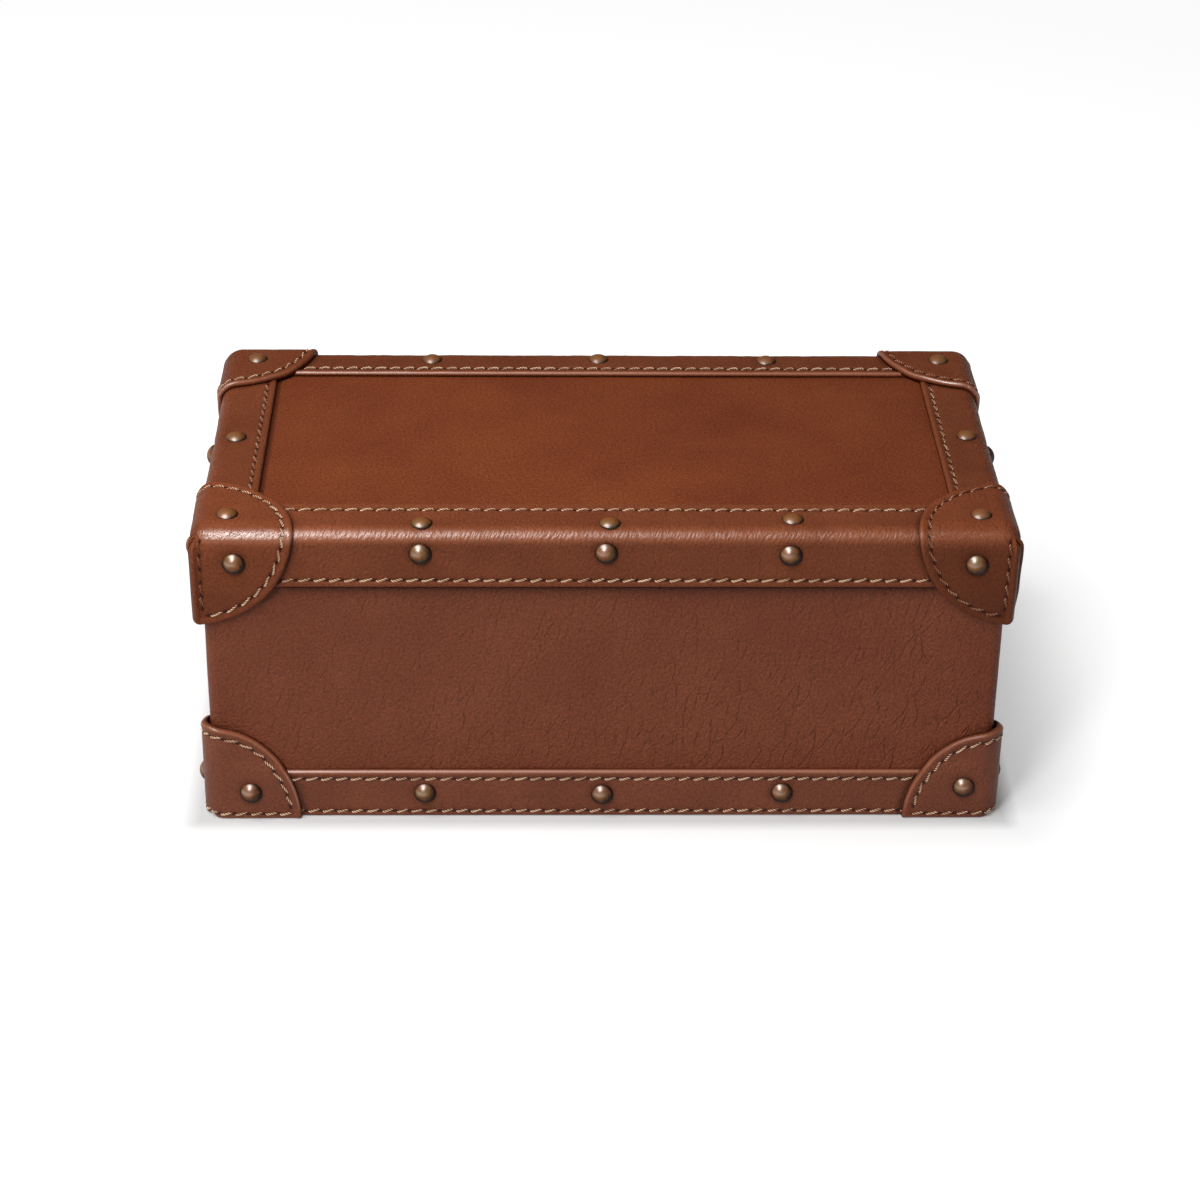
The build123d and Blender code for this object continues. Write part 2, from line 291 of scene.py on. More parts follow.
def fullGrainLeather(name, look):
    material, tree, shader = newMaterial(name)
    flat = addNode(tree, "ShaderNodeUVMap", {"uv_map": "flatMap"}, {})
    marks = {key: addNode(tree, "ShaderNodeAttribute", {"attribute_name": key}, {}, "Fac") for key in leatherMarks}

    noises = (("cloudMm", 4.0, 0.6), ("hazeMm", 5.0, 0.7), ("grainMm", 3.0, 0.65), ("breakMm", 2.0, 0.5))
    cloud, haze, grain, gaps = [addNode(tree, "ShaderNodeTexNoise", {}, {
        "Vector": flat, "Scale": perMillimetre(look[size]), "Detail": detail, "Roughness": rough})
        for size, detail, rough in noises]

    # dye: cloudy over the hide, hazy close by; each piece is cut from its own part of the hide
    cloudy = addNode(tree, "ShaderNodeMapRange", {}, {0: cloud, 1: 0.32, 2: 0.68})
    body = addNode(tree, "ShaderNodeMix", colourMix, {
        0: cloudy, 6: hexToLinear(look["deep"]), 7: hexToLinear(look["warm"])}, 2)
    hazy = addNode(tree, "ShaderNodeMapRange", {}, {
        0: haze, 1: 0.3, 2: 0.7, 3: 1 - look["hazeDepth"], 4: 1 + look["hazeDepth"]})
    # the tone mark holds each piece's own tone and painted shadows and painted light
    hazy = addNode(tree, "ShaderNodeMath", times, {0: hazy, 1: marks["tone"]})
    body = addNode(tree, "ShaderNodeVectorMath", {"operation": "SCALE"}, {0: body, 3: hazy})
    pore = addNode(tree, "ShaderNodeTexVoronoi", {"feature": "F1"}, {
        "Vector": flat, "Scale": perMillimetre(look["poreMm"])})

    # needle holes: an oval at each end of a stitch, painted dark as the shade inside it
    holeLong, holeWide = stitch["hole"]
    pitches = addNode(tree, "ShaderNodeMath", {"operation": "DIVIDE"}, {0: marks["stitchAlong"], 1: stitch["pitch"]})
    nearest = addNode(tree, "ShaderNodeMath", {"operation": "ROUND"}, {0: pitches})
    offHole = addNode(tree, "ShaderNodeMath", {"operation": "SUBTRACT"}, {0: pitches, 1: nearest})
    holeAlong = addNode(tree, "ShaderNodeMath", times, {0: offHole, 1: stitch["pitch"] / holeLong})
    holeAcross = addNode(tree, "ShaderNodeMath", times, {0: marks["stitchAcross"], 1: 1 / holeWide})
    oval = addNode(tree, "ShaderNodeCombineXYZ", {}, {0: holeAlong, 1: holeAcross})
    fromHole = addNode(tree, "ShaderNodeVectorMath", {"operation": "LENGTH"}, {0: oval}, "Value")

    # surface: pebbled grain, long soft creases, and short slanted wrinkles where the leather bends
    normal = addNode(tree, "ShaderNodeBump", {}, {
        "Strength": 1.0, "Distance": look["grainDeep"] * mm, "Height": grain})
    wander = addNode(tree, "ShaderNodeTexNoise", {}, {
        "Vector": flat, "Scale": perMillimetre(look["wanderMm"]), "Detail": 2.0}, 1)
    wander = addNode(tree, "ShaderNodeVectorMath", {"operation": "SUBTRACT"}, {0: wander, 1: (0.5, 0.5, 0.5)})
    wander = addNode(tree, "ShaderNodeVectorMath", timesPlus, {0: wander, 1: [look["wander"] * mm] * 3, 2: flat})
    leaning = addNode(tree, "ShaderNodeMapping", {"vector_type": "TEXTURE"}, {
        "Vector": wander, "Rotation": (0, 0, math.radians(look["netTurn"])), "Scale": (1.0, look["netLong"], 1.0)})
    net = addNode(tree, "ShaderNodeTexVoronoi", {"feature": "DISTANCE_TO_EDGE", "voronoi_dimensions": "2D"}, {
        "Vector": leaning, "Scale": perMillimetre(look["netMm"])})
    crease = addNode(tree, "ShaderNodeMapRange", softly, {0: net, 1: 0.0, 2: look["netWide"], 3: 1.0, 4: 0.0})
    patch = addNode(tree, "ShaderNodeMapRange", softly, {0: cloud, 1: 0.36, 2: 0.6, 3: 0.45, 4: 1.0})
    broken = addNode(tree, "ShaderNodeMapRange", softly, {0: gaps, 1: 0.4, 2: 0.56})
    for share in (patch, broken, marks["worn"]):  # creases come in patches, in short runs and where the hide is loose
        crease = addNode(tree, "ShaderNodeMath", times, {0: crease, 1: share})
    normal = addNode(tree, "ShaderNodeBump", {"invert": True}, {
        "Strength": 1.0, "Distance": look["netDeep"] * mm, "Height": crease, "Normal": normal})
    slanted = addNode(tree, "ShaderNodeMapping", {"vector_type": "TEXTURE"}, {
        "Vector": flat, "Rotation": (0, 0, math.radians(look["wrinkleTurn"])),
        "Scale": (1.0, look["wrinkleLong"], 1.0)})
    wrinkle = addNode(tree, "ShaderNodeTexNoise", {}, {
        "Vector": slanted, "Scale": perMillimetre(look["wrinkleMm"]), "Detail": 2.0, "Roughness": 0.5})
    wrinkled = addNode(tree, "ShaderNodeMath", times, {0: wrinkle, 1: marks["bend"]})
    normal = addNode(tree, "ShaderNodeBump", {}, {
        "Strength": 1.0, "Distance": look["wrinkleDeep"] * mm, "Height": wrinkled, "Normal": normal})
    waxNormal = addNode(tree, "ShaderNodeBump", {}, {
        "Strength": 1.0, "Distance": look["waxDeep"] * mm, "Height": wrinkled})

    layers = (  # what lies on the dye: settings, measure, its range, the share at both ends of it, colour
        ({}, pore, 0.05, 0.34, look["poreDepth"], 0.0, look["dark"]),
        ({}, marks["burnish"], 0.0, 1.0, 0.0, look["pullUp"], look["pale"]),  # hide turns paler where it is bent and rubbed; the mask also paints a highlight where the light catches shoulders and edges
        # painted shade: hollows, seam grooves and the dips round the nails are darkened
        ({}, marks["relief"], -0.42, 0.02, look["hollowDark"], 0.0, look["dark"]),
        ({}, marks["edgeDistance"], 0.05, 0.75, look["edgeDark"], 0.0, look["dressed"]),
        # painted shade in the needle holes
        (softly, fromHole, 0.7, 1.4, 0.88, 0.0, stitch["holeDark"]),
        # painted shade in the creases
        ({}, crease, 0.0, 1.0, 0.0, look["netDark"], look["dark"]),
    )
    for settings, measure, low, high, lowShare, highShare, colour in layers:
        share = addNode(tree, "ShaderNodeMapRange", settings, {0: measure, 1: low, 2: high, 3: lowShare, 4: highShare})
        body = addNode(tree, "ShaderNodeMix", colourMix, {0: share, 6: body, 7: hexToLinear(colour)}, 2)
    satin = addNode(tree, "ShaderNodeMapRange", {}, {
        0: haze, 1: 0.3, 2: 0.7, 3: look["rough"] - 0.05, 4: look["rough"] + 0.07})
    thickWax = addNode(tree, "ShaderNodeMath", times, {  # only thick wax shines
        0: marks["burnish"], 1: marks["burnish"]})
    setInputs(tree, shader, {
        "Base Color": body, "Normal": normal, "Roughness": satin, "IOR": 1.36, "Specular IOR Level": look["shine"],
        "Coat Weight": thickWax, "Coat Normal": waxNormal,
        "Coat Roughness": look["waxRough"], "Coat IOR": look["waxIor"]})
    return material


hide = {
    "deep": "#723a21", "warm": "#7e4329", "dark": "#35140b", "dressed": "#45190f", "pale": "#b86d45", "pullUp": 0.6,
    "cloudMm": 26.0, "hazeMm": 0.9, "hazeDepth": 0.32, "poreMm": 0.7, "poreDepth": 0.42,
    "hollowDark": 0.35, "edgeDark": 0.25, "grainMm": 0.9, "grainDeep": 0.5,
    "wanderMm": 9.0, "wander": 6.0, "breakMm": 8.0,
    "netTurn": 18.0, "netLong": 3.2, "netMm": 4.6, "netWide": 0.1, "netDeep": 0.1, "netDark": 0.06,
    "wrinkleTurn": 28.0, "wrinkleLong": 2.6, "wrinkleMm": 0.8, "wrinkleDeep": 0.3,
    "rough": 0.46, "shine": 0.2, "waxRough": 0.34, "waxIor": 2.0, "waxDeep": 0.4,
}
wallHide = dict(
    hide, deep="#773c26", warm="#83462e", cloudMm=34.0, wander=3.6, hazeDepth=0.36, grainMm=1.0, grainDeep=0.9,
    hollowDark=0.0, netTurn=-18.0, netLong=3.6, netMm=3.7, netWide=0.12, netDeep=0.3, netDark=0.1, rough=0.5, shine=0.3)
lidHide = dict(
    hide, deep="#793a21", warm="#874526", cloudMm=38.0, hazeDepth=0.44, hollowDark=0.15,
    netDeep=0.02, netDark=0.0, poreDepth=0.3, shine=0.18)
cornerHide = dict(hide, deep="#743b22", warm="#82452a", shine=0.15, waxIor=2.5, waxDeep=0.48)
footHide = dict(hide, deep="#733c27", warm="#80462e", shine=0.36)
bandLeather = fullGrainLeather("fullGrainCowhideWaxedBand", hide)
wallLeather = fullGrainLeather("fullGrainCowhideCreasedWall", wallHide)
fieldLeather = fullGrainLeather("fullGrainCowhidePolishedTop", lidHide)
cornerLeather = fullGrainLeather("fullGrainCowhideMouldedCorner", cornerHide)
footLeather = fullGrainLeather("fullGrainCowhideScuffedFoot", footHide)
print("leather mixed")


def leatherSheet(name, mid, normal, flat, edge, thick, relief, material,
                 seam=None, bend=0.0, glow=0.0, rub=0.0, tone=1.0, soft=None, worn=1.0):
    # a sheet with rounded edges: mid-surface, normals, flat pattern and distance to the edge on one grid
    rows, columns = edge.shape
    half = thick / 2
    swell = half * np.sqrt(1 - (1 - np.clip(edge / half, 0, 1)) ** 2)
    relief = (relief + nailDips(mid + normal * half, normal)) * swell / half
    rise, drop = swell + relief, -swell
    if soft is not None:  # a folded edge is rounded over that width
        fold = (thick + turned["over"]) * np.sqrt(1 - (1 - np.clip(edge / soft, 0, 1)) ** 2) - half
        rise = np.minimum(rise, fold)
        drop = np.minimum(drop, rise)
    outer = mid + normal * rise[..., None]
    inner = mid + normal * drop[..., None]
    turn = np.cross(mid[1:, :-1] - mid[:-1, :-1], mid[1:, 1:] - mid[1:, :-1])
    flipped = (turn * normal[:-1, :-1]).sum() < 0
    faces = np.concatenate([gridFaces(rows, columns, flipped), gridFaces(rows, columns, not flipped) + rows * columns])
    bare = np.zeros_like(edge)
    along, across = seam if seam else (bare, noSeam)
    # wax and a painted highlight on the shoulders and rolled edges
    burnish = np.clip(glow + rub * np.exp(-((edge - turned["rubAt"]) / turned["rubWide"]) ** 2), 0, 1)
    face = dict(zip(leatherMarks, (along, across, edge, relief, bend, burnish, tone, worn)))
    back = dict(zip(leatherMarks, (along, noSeam, edge, 0.0, 0.0, 0.0, 0.8, 0.0)))
    values = {key: np.concatenate([(bare + face[key]).reshape(-1), (bare + back[key]).reshape(-1)]) for key in face}
    points = np.concatenate([outer.reshape(-1, 3), inner.reshape(-1, 3)])
    pattern = np.concatenate([flat.reshape(-1, 2), flat.reshape(-1, 2) + 400])  # the back is another part of the hide
    return addPiece(name, points, faces, material, pattern, values)


def turnedEdge(edge):  # the folded rim stands a little proud
    return turned["proud"] * np.exp(-((edge - turned["at"]) / turned["reach"]) ** 2)


def seamGroove(along, across):  # the stitch line is pulled down, most at the needle holes
    pull = 0.75 + 0.25 * np.cos(2 * math.pi * along / stitch["pitch"])
    return -stitch["groove"] * np.exp(-(across / stitch["grooveWide"]) ** 2) * pull


def nearestSeam(seams):  # of several (along, across) pairs the nearest at each point
    along, across = seams[0]
    for nextAlong, nextAcross in seams[1:]:
        nearer = np.abs(nextAcross) < np.abs(across)
        along, across = np.where(nearer, nextAlong, along), np.where(nearer, nextAcross, across)
    return along, across


# Thread: waxed linen, two plies twisted and pulled tight by hand; tan, with painted shade in the twist lines

thread = {"dark": "#7a3a20", "light": "#ffdfba", "fibreMm": 0.35, "fibreDeep": 0.05,
          "rings": 17, "sides": 6, "turns": 2.0, "taper": 0.16, "crest": 0.84, "contrast": 1.9}
threadLightAndShade = {"long": 0.56, "short": 0.1,  # painted light and shade on the thread, seam by seam
                "lidCorner": {-1: (0.46, -0.3, -0.1), 1: (0.02, -0.05, -0.1)}}
draws = np.random.default_rng(41)


def waxedLinen():
    material, tree, shader = newMaterial("waxedLinenTwistedThread")
    spot = addNode(tree, "ShaderNodeTexCoord", {}, {}, "Object")
    tone = addNode(tree, "ShaderNodeAttribute", {"attribute_name": "tone"}, {}, "Fac")
    fibre = addNode(tree, "ShaderNodeTexNoise", {}, {
        "Vector": spot, "Scale": perMillimetre(thread["fibreMm"]), "Detail": 2.0})
    mixed = addNode(tree, "ShaderNodeMath", timesPlus, {0: fibre, 1: 0.3, 2: tone})
    colour = addNode(tree, "ShaderNodeMix", colourMix, {
        0: mixed, 6: hexToLinear(thread["dark"]), 7: hexToLinear(thread["light"])}, 2)
    bump = addNode(tree, "ShaderNodeBump", {}, {"Strength": 0.5, "Distance": thread["fibreDeep"] * mm, "Height": fibre})
    setInputs(tree, shader, {"Base Color": colour, "Normal": bump, "Roughness": 0.5, "Specular IOR Level": 0.2})
    return material


linenThread = waxedLinen()


def sew(name, body, seams, shades):  # twisted stitches along each seam (along, points, normals)
    allPoints, allFaces, allTones, count = [], [], [], 0
    pitch, t = stitch["pitch"], np.linspace(-1, 1, thread["rings"])
    ring = np.arange(thread["sides"]) / thread["sides"] * 2 * math.pi
    for (along, points, normals), shade in zip(seams, shades):
        numbers = np.arange(math.ceil(along[0] / pitch), math.floor(along[-1] / pitch))
        if not len(numbers):
            continue
        sway = draws.normal(0, 1, (len(numbers), 3))
        reach = pitch * (stitch["reach"] + 0.008 * sway[:, :1])
        at = (numbers[:, None] + 0.5) * pitch + t * reach
        spot = np.stack([np.interp(at, along, points[:, i]) for i in range(3)], -1)
        up = unit(np.stack([np.interp(at, along, normals[:, i]) for i in range(3)], -1))
        sideways = np.cross(up, unit(np.gradient(spot, axis=1)))
        height = stitch["lift"] * (1 + 0.12 * sway[:, 1:2]) * (1 - 2.3 * np.abs(t) ** 3.2)
        slant = stitch["slant"] * (1 + 0.15 * sway[:, 2:3]) * np.sin(t * quarter)
        core = spot + up * height[..., None] + sideways * slant[..., None]
        ahead = unit(np.gradient(core, axis=1))
        sideways = unit(np.cross(up, ahead))
        rise = np.cross(ahead, sideways)
        for ply in (0, 1):
            twist = (t * math.pi * thread["turns"] + ply * math.pi + numbers[:, None] * 0.7)[..., None]
            heart = core + stitch["offset"] * (sideways * np.cos(twist) + rise * np.sin(twist))
            thin = (stitch["ply"] * (1 - thread["taper"] * t))[:, None, None]
            rim = sideways[:, :, None] * np.cos(ring)[:, None] + rise[:, :, None] * np.sin(ring)[:, None]
            tube = heart[:, :, None] + thin * rim
            crest = np.linalg.norm(tube - core[:, :, None], axis=-1)  # most on a ply's back, less in the groove
            crest = crest / (stitch["offset"] + stitch["ply"])
            index = np.arange(crest.size).reshape(crest.shape) + count
            nextSide = np.roll(index, -1, axis=2)
            wall = np.stack([index[:, :-1], nextSide[:, :-1], nextSide[:, 1:], index[:, 1:]], -1).reshape(-1, 4)
            allFaces.append(wall)
            for end, order in ((0, -1), (-1, 1)):  # each end closed by two four-cornered faces
                allFaces += [index[:, end][:, four][:, ::order] for four in ([0, 1, 2, 3], [0, 3, 4, 5])]
            allPoints.append(tube.reshape(-1, 3))
            # painted shade: darker in the grooves between the plies, over each seam's painted shading
            tone = shade + 0.10 * sway[:, :1, None] + thread["contrast"] * (crest - thread["crest"])
            allTones.append(tone.reshape(-1))
            count += crest.size
    sewn = addPiece(name + "Stitches", np.concatenate(allPoints), np.concatenate(allFaces), linenThread, None,
                    {"tone": np.concatenate(allTones)})
    place(sewn, body, "thread")


# Corner settings, which the bands beside them use too

lidCorner = {
    "reach": 33.0, "longer": 2.8, "round": 6.8, "tipRound": 2.4, "seamIn": 3.3, "soft": 1.0, "closed": 3.6,
    "flare": 25.0, "flareRun": 1.5, "flareBend": 3.0, "pinchFrom": 2.5, "pinchTo": 7.5,
    "lean": 1.1, "bulge": 0.45, "droop": 0.35, "overlap": {-1: 1.0, 1: 0.4},
    "uneven": [(0.10, 13, 0), (0.045, 5, 2), (0.018, 2.2, 4)],
    "glow": {-1: 1.0, 1: 0.45},  # wax and painted highlight on the fold, stronger on the left-hand corners
    "rub": {"front_left": 0.15, "front_right": 0.15, "back_left": 0.8, "back_right": 0.85},
    "tones": {"front_left": (1.14, 0.95), "front_right": (1.12, 0.73),  # on the lid, on the flaps
              "back_left": (1.02, 0.95), "back_right": (1.0, 0.85)},
}
baseCorner = {
    "reach": 32.7, "round": 6.8, "tall": 0.018, "seamIn": 3.3, "footSeam": 2.0, "soft": 0.95, "pull": 1.0,
    "footLift": 0.7, "footRound": 3.4, "footReach": 2.6, "rub": {-1: 0.8, 1: 0.55},
    "uneven": [(0.10, 12, 0), (0.05, 5, 2), (0.02, 2.2, 4)],
    "taller": {"front_left": 2.0, "front_right": 0.0, "back_left": 0.0, "back_right": 0.0},
}
lidOuter = np.array([bandOut["short"], bandOut["long"], lidTop]) + cornerThick
baseOuter = np.array([bandOut["short"] + cornerThick, bandOut["long"] + cornerThick, 0.0])


# Bands: turned-edge strips over the lid's shoulder and round the foot, sewn along both edges

lidBand = {
    "width": 18.5, "shoulder": 5.0, "seamTop": {"long": 3.95, "short": 3.0}, "seamIn": 2.7, "step": 0.85,
    "underCorner": 5.0, "seamEnd": 23.0, "roll": 0.0, "flip": 1.2, "soft": 1.2,
    # painted light: the band tops are lighter at the front and left, and the front one darker to the right
    "tone": {"front": 1.13, "right": 1.0, "back": 1.0, "left": 1.08}, "tilt": 0.05,
    "rub": {"front": 1.0, "right": 0.3, "back": 1.0, "left": 0.15},
    "glow": 0.74, "glowTilt": 0.3, "glowShort": 0.15, "glowAt": 0.59, "glowWide": 0.26,
}
baseBand = {
    "proud": 0.5, "seamTop": 3.3, "seamFoot": 2.0, "step": 0.85,
    "underCorner": 7.0, "seamEnd": 22.0, "roll": 0.9, "flip": 0.0, "soft": 1.5,
    "rub": {"front": 1.0, "right": 0.15, "back": 1.0, "left": 0.15},
}
bandUneven = [(0.09, 17, 0), (0.05, 6.5, 3), (0.02, 2.6, 5)]
cornerShadowPainted = {"dark": 0.5, "reach": 1.2}  # painted shadow beside the corner pieces


def pastCorner(x, section, halfLength, out, onLid):  # how far a band's points lie from the corner piece's edge
    off = halfLength + cornerThick - np.abs(x)
    if not onLid:
        return np.hypot(off, section[:, 1]) - baseCorner["reach"]
    inset, depth = out + cornerThick - section[:, 0], lidTop + cornerThick - section[:, 1]
    far = np.hypot(off, np.maximum(inset, depth))
    longer = lidCorner["longer"] * (np.where(depth > inset, depth, 0) / far) ** 2
    return far - (lidCorner["reach"] + longer)


def bandStrip(body, side, start, heading, legs, seamsAt, settings, seed, bendAt, material):
    angle = sides[side]
    run, ends = ("long", "short") if angle % 180 == 0 else ("short", "long")
    halfLength, out = bandOut[ends], bandOut[run]
    total = sum(length for length, turn in legs)
    fine = [(0, 1.7, 0.19), (total, 0.7, 0.15)] + [(at, 1.0, 0.3) for at in seamsAt]
    fine += [(bendAt[0] + bendAt[1] / 2, bendAt[1] / 2, 0.4)] if bendAt else []
    rows = spread(total, 0.95, fine)
    section, facing = follow(rows, start, heading, legs)
    reach = halfLength - (out - section[:, 0]) - settings["underCorner"]
    places = spread(2 * halfLength, settings["step"], []) / halfLength - 1
    x = places[:, None] * reach[None, :]
    s = np.broadcast_to(rows, x.shape)
    mid = onSide(angle, x, section[:, 0], section[:, 1])
    normal = onSide(angle, np.zeros_like(x), facing[:, 0], facing[:, 1])
    sideEdge = np.minimum(s, total - s)
    edge = np.minimum(sideEdge, reach - np.abs(x))
    seam = nearestSeam([(x, s - at) for at in seamsAt])
    relief = turnedEdge(sideEdge) + settings["roll"] * turnedEdge(s) + settings["flip"] * turnedEdge(total - s)
    relief = relief + seamGroove(*seam) + swells(x, s, bandUneven, seed)
    bend = glow = np.zeros_like(x)
    tone = 1.0
    if bendAt:
        flatLength, bendLength = bendAt
        past = s - flatLength  # from the start of the bend
        # painted light: lighter band tops by side, the front one darker to the right
        tilt = settings["tilt"] * x / halfLength if side == "front" else 0
        tone = 1 + smooth(1 - past / bendLength) * (settings["tone"][side] - 1 - tilt)
        # wax and painted highlight on the shoulder, weaker to the right and on the short sides
        shine = settings["glow"] - settings["glowTilt"] * x / halfLength if run == "long" else settings["glowShort"]
        glow = shine * np.exp(-((past / bendLength - settings["glowAt"]) / settings["glowWide"]) ** 2)
        bend = smooth(1.35 - np.abs(past - bendLength / 2) / (bendLength * 0.75))
        relief = relief + bend * 0.06 * waves(x - s * 0.5, s * 0.3, 1.9, seed + 7)
    # painted shadow on the band beside each corner piece
    beside = np.clip(pastCorner(x, section, halfLength, out, bool(bendAt)), 0, None)
    tone = tone * (1 - cornerShadowPainted["dark"] * np.exp(-(beside / cornerShadowPainted["reach"]) ** 2))
    # rolled edges: wax and a painted highlight, more on the sides the light falls on
    rub = smooth(1.3 - s / 5) * settings["rub"][side]
    name = f"{body}{side.title()}Binding"
    piece = leatherSheet(name, mid, normal, np.stack([x + seed * 37, s], -1), edge, bandThick, relief, material,
                         seam, bend, glow, rub, tone, np.where(s < total / 2, settings["soft"], 0.9))
    place(piece, body, "binding_leather", f"{body}_{side}_binding")
    samples = np.arange(-(halfLength - settings["seamEnd"]), halfLength - settings["seamEnd"], 0.35)
    seams = []
    for at in seamsAt:
        spot, up = follow(np.full_like(samples, at), start, heading, legs)
        points = onSide(angle, samples, spot[:, 0], spot[:, 1])
        normals = onSide(angle, np.zeros_like(samples), up[:, 0], up[:, 1])
        seams.append((samples, points + normals * (bandThick / 2 - stitch["sunk"]), normals))
    sew(name, body, seams, [threadLightAndShade[run]] * len(seams))


bendLength = (lidBand["shoulder"] - bandThick / 2) * quarter
flatLength = lidBand["width"] - lidBand["shoulder"]
skirtLength = lidTop - lidBand["shoulder"] - lidRim
lidLegs = [(flatLength, 0), (bendLength, -90), (skirtLength, 0)]
lidLength = flatLength + bendLength + skirtLength
footLength = baseBandTop + baseBand["proud"]
for number, (side, angle) in enumerate(sides.items()):
    run = "long" if angle % 180 == 0 else "short"
    bandStrip("lid", side, (bandOut[run] - lidBand["width"], lidTop - bandThick / 2), 0, lidLegs,
              [lidBand["seamTop"][run], lidLength - lidBand["seamIn"]],
              lidBand, 11 + number, (flatLength, bendLength), bandLeather)
    bandStrip("base", side, (bandOut[run] - bandThick / 2, footLength), 270, [(footLength, 0)],
              [baseBand["seamTop"], footLength - baseBand["seamFoot"]], baseBand, 21 + number, None, footLeather)
print("bands cut and sewn")


# Lid corners: three-quarter discs folded over the corner, the two flaps pinched to a standing seam

def fromInsets(insets, normals, signs, outer, rising):  # a corner's insets and normals to the frame's
    turn = np.array([-signs[0], -signs[1], rising])
    return np.array([signs[0] * outer[0], signs[1] * outer[1], outer[2]]) + insets * turn, normals * turn


def lidCornerPattern(rho, theta):  # insets from the side, front and top faces of a folded three-quarter disc
    c, s = np.cos(theta), np.sin(theta)
    zero = np.zeros_like(rho)
    front = np.stack([rho * s, zero, rho * c], -1)
    top = np.stack([rho * s, -rho * c, zero], -1)
    side = np.stack([zero, -rho * c, -rho * s], -1)
    return np.where((theta < quarter)[..., None], front, np.where((theta > math.pi)[..., None], side, top))


def lidCornerShape(rho, theta, overlap):  # mid-surface and normals as insets; the front flap may lie over the other
    half, radius = cornerThick / 2, lidCorner["round"]
    pattern = lidCornerPattern(rho, theta)
    heart = np.maximum(pattern, radius)
    normal = unit(pattern - heart)
    rounded = heart + normal * (radius - half)
    flare = math.radians(lidCorner["flare"])
    run, bendRadius = lidCorner["flareRun"], lidCorner["flareBend"]
    tipIn = half - bendRadius * (1 - math.cos(flare)) - run * math.sin(flare)  # where the pinched edge ends
    tipAlong = -(half * 1.06 * math.sqrt(2)) - tipIn
    shift = run + bendRadius * flare - (run * math.cos(flare) + bendRadius * math.sin(flare) - tipAlong)
    legs = [(run, 0), (bendRadius * flare, lidCorner["flare"]), (100.0, 0)]
    depth = pattern[..., 2]
    fold = smooth((depth - lidCorner["pinchFrom"]) / (lidCorner["pinchTo"] - lidCorner["pinchFrom"]))
    for axis, other, here in ((0, 1, theta < quarter), (1, 0, theta > math.pi)):
        across = pattern[..., axis]
        tuck = -overlap if axis == 0 else 0.9 * overlap
        distance = across + (shift - tuck) * smooth(across / 9)
        spot, up = follow(distance, (tipAlong - tuck, tipIn), 180 - lidCorner["flare"], legs)
        under = 0.7 * overlap * axis * np.exp(-across / 5)  # the side flap lies under the front one
        lean = lidCorner["lean"] * smooth((depth - 22) / 12)
        bulge = lidCorner["bulge"] * np.exp(-((depth - 10) / 5.5) ** 2) * np.exp(-across / 12)
        flared, flaredUp = np.zeros_like(pattern), np.zeros_like(pattern)
        flared[..., axis], flared[..., 2] = -spot[..., 0], depth
        flared[..., other] = spot[..., 1] + under + (lean - bulge)
        flaredUp[..., axis], flaredUp[..., other] = -up[..., 0], up[..., 1]
        share = (fold * here)[..., None]
        rounded = rounded * (1 - share) + flared * share
        normal = normal * (1 - share) + flaredUp * share
    rounded[..., 2] += lidCorner["droop"] * smooth((np.minimum(pattern[..., 0], pattern[..., 1]) - 18) / 5)
    return rounded, unit(normal)


def lidCornerOval(theta):  # the disc is a little longer down the flaps
    front, side = np.cos(np.minimum(theta, quarter)), np.sin(np.maximum(theta, math.pi) - math.pi)
    return lidCorner["reach"] + lidCorner["longer"] * (front ** 2 + side ** 2)


def lidCornerReach(theta):  # the disc's edge, with the flaps' tips rounded off
    reach, tip = lidCornerOval(theta), lidCorner["tipRound"]
    inset = np.where(theta < quarter, reach * np.sin(theta), np.where(theta > math.pi, -reach * np.cos(theta), reach))
    return reach - (tip - np.sqrt(tip ** 2 - (tip - np.clip(inset, 0, tip)) ** 2))


